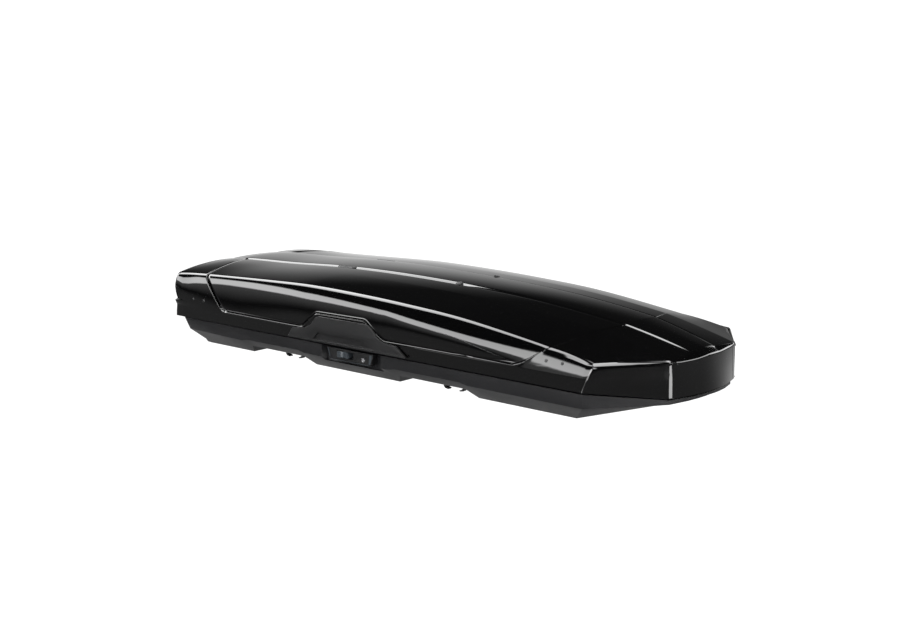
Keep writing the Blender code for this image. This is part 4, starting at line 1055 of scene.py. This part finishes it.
def makeFloorMat(name, x0, x1, wide, base):
    # a rubber sheet lying on the tray's floor, with ribs across it
    thick, pitch, margin, ribHeight = (matSheet[key] for key in ("thick", "pitch", "margin", "ribHeight"))
    bm = bmesh.new()
    bmesh.ops.create_cube(bm, size=1.0)
    bmesh.ops.scale(bm, vec=(x1 - x0, 2 * wide, thick), verts=bm.verts)
    bmesh.ops.translate(bm, vec=((x0 + x1) / 2, 0, base + thick / 2), verts=bm.verts)
    sheet = asObject(bm, f"floorMat{name}", matRubber)
    edgesRounded(sheet, matSheet["edge"])
    settle(plain(sheet), "base", "moulded_black")
    count = int((x1 - x0 - 2 * margin) / pitch) + 1
    ribs = growPiece(f"floorMatRibs{name}", bpy.data.meshes.new("matSeed"), ribRow, ribKeys, {
        "Count": count, "Pitch": pitch, "Lean": 0.0,
        "Size": (matSheet["ribWidth"], 2 * (wide - margin), ribHeight),
        "Start": ((x0 + x1 - (count - 1) * pitch) / 2, 0.0, base + thick + 0.3 * ribHeight)}, matRubber)
    settle(ribs, "base", "moulded_black")


for name, mat in floorMats.items():
    makeFloorMat(name, *mat)
print("floor mats")


# a fine raised line down the side, tapering away at both ends
styleLine = {"points": ((0.30, 0.2395), (0.38, 0.2305), (0.438, 0.2215), (0.532, 0.2030), (0.600, 0.1895),
                        (0.660, 0.1780)), "radius": 0.0012, "lift": 0.0001, "parts": 40, "taper": 14}


def makeStyleLine(side, sign):
    curve = bpy.data.curves.new("styleCurve", "CURVE")
    curve.dimensions, curve.bevel_depth, curve.bevel_resolution = "3D", styleLine["radius"], 3
    curve.use_fill_caps = True
    spline = curve.splines.new("POLY")
    parts, knots = styleLine["parts"], styleLine["points"]
    spline.points.add(parts)
    for i, point in enumerate(spline.points):
        x = mix(knots[0][0], knots[-1][0], i / parts)
        z = curveAt(knots, x)
        point.co = (x, sign * (wallY(x, z) + styleLine["lift"]), z, 1.0)
        point.radius = ease(min(i, parts - i) / styleLine["taper"]) * 0.95 + 0.05
    path = inScene("stylePath", curve)
    mesh = evaluated(path)
    bpy.data.objects.remove(path)
    mesh.materials.append(finishes["gloss_black"])
    mesh.shade_smooth()
    settle(inScene(f"styleLine{side.title()}", mesh), "lid", "gloss_black")


for side, sign in sides.items():
    makeStyleLine(side, sign)
print("style lines")


# white is what the camera sees of floor and world, fill lights matt surfaces, dark is what the
# gloss reflects between the softboxes
studio = {"eye": (3.484, -3.997, 1.178), "tilt": math.pi / 2 - 0.186, "turn": 0.719, "lens": 54.8,
          "floorSize": 60.0, "floorDrop": 0.0005, "white": 1.15, "fill": 0.9, "dark": 0.015}


def makeCamera():
    camera = inScene("camera", bpy.data.cameras.new("camera"))
    camera.location = studio["eye"]
    camera.rotation_euler = (studio["tilt"], 0.0, studio["turn"])
    camera.data.lens = studio["lens"]
    camera.data.clip_start = 0.01
    bpy.context.scene.camera = camera


def makeFloor():
    bm = bmesh.new()
    bmesh.ops.create_grid(bm, x_segments=2, y_segments=2, size=studio["floorSize"])
    bmesh.ops.translate(bm, vec=(0, 0, cadLow[2] - studio["floorDrop"]), verts=bm.verts)
    material, shader, bench, place = newFinish("floorWhite", (0.9, 0.9, 0.9))
    shader.inputs["Roughness"].default_value = 0.9
    glow = bench.node("ShaderNodeEmission", Strength=studio["white"])
    blend = bench.node("ShaderNodeMixShader", n0=bench.node("ShaderNodeLightPath"),
                       n1=Flow(bench.tree, shader.outputs[0]), n2=glow)
    bench.tree.links.new(blend.socket, bench.tree.nodes["Material Output"].inputs[0])
    floor = asObject(bm, "floor", material, smooth=False)
    floor.visible_glossy = False


# middle and half width in azimuth, low and high elevation, edge softness (degrees), strength
softboxes = {
    "sideRing": (-125, 75, 18.5, 33, 1.3, 7.5),
    "sideHaze": (-125, 75, 10, 26, 6.0, 0.6),
    "crestRear": (162, 20, 31, 80, 2.0, 7.0),
    "frontCrest": (40, 84, 50, 84, 3.0, 8.0),
    "noseEdge": (72, 32, 13, 24, 2.0, 6.0),
    "noseStrip": (4, 10, -30, 14, 1.5, 9.0),
    "cornerStrip": (-75, 16, -30, 34, 3.0, 6.0),
    "noseGlow": (86, 24, -95, 4, 18.0, 0.33),
    "rightLobe": (92, 20, -30, 12, 16.0, 0.35),
    "ground": (0, 400, -95, 1, 5.0, 0.22),
    "farHorizon": (159, 34, -95, 14.5, 9.0, 0.58),
}


def softStep(bench, value, edge, soft, before):
    # from before to 1 - before, over the width soft on each side of the edge
    return bench.node("ShaderNodeMapRange", {"interpolation_type": "SMOOTHSTEP"}, n0=value,
                      n1=edge - soft, n2=edge + soft, n3=before, n4=1.0 - before)


def makeWorld():
    world = bpy.data.worlds.new("studio")
    bpy.context.scene.world = world
    world.use_nodes = True
    bench = Workshop(world.node_tree)
    out = world.node_tree.nodes["Background"]
    out.inputs["Color"].default_value = (1.0, 1.0, 1.0, 1.0)
    way = bench.node("ShaderNodeTexCoord")
    x, y, z = (bench.node("ShaderNodeSeparateXYZ", out=i, n0=way) for i in range(3))
    inDegrees = 180 / math.pi
    elevation = bench.node("ShaderNodeMath", {"operation": "ARCSINE"}, n0=z) * inDegrees
    total = studio["dark"]
    for azimuth, half, low, high, soft, power in softboxes.values():
        middle = math.radians(azimuth)
        turned = x * math.cos(middle) + y * math.sin(middle)
        across = y * math.cos(middle) - x * math.sin(middle)
        angle = bench.node("ShaderNodeMath", {"operation": "ARCTAN2"}, n0=across, n1=turned)
        off = bench.node("ShaderNodeMath", {"operation": "ABSOLUTE"}, n0=angle) * inDegrees
        inside = softStep(bench, off, half, soft, 1.0)
        above = softStep(bench, elevation, low, soft, 0.0)
        under = softStep(bench, elevation, high, soft, 1.0)
        total = total + inside * above * under * power
    camera, glossy = (bench.node("ShaderNodeLightPath", out=i) for i in (0, 3))
    unseen = glossy * total + (1 - glossy) * studio["fill"]
    strength = camera * studio["white"] + (1 - camera) * unseen
    world.node_tree.links.new(strength.socket, out.inputs["Strength"])


makeCamera()
makeFloor()
makeWorld()
bpy.context.scene.view_settings.view_transform = "Standard"
print("studio ready")
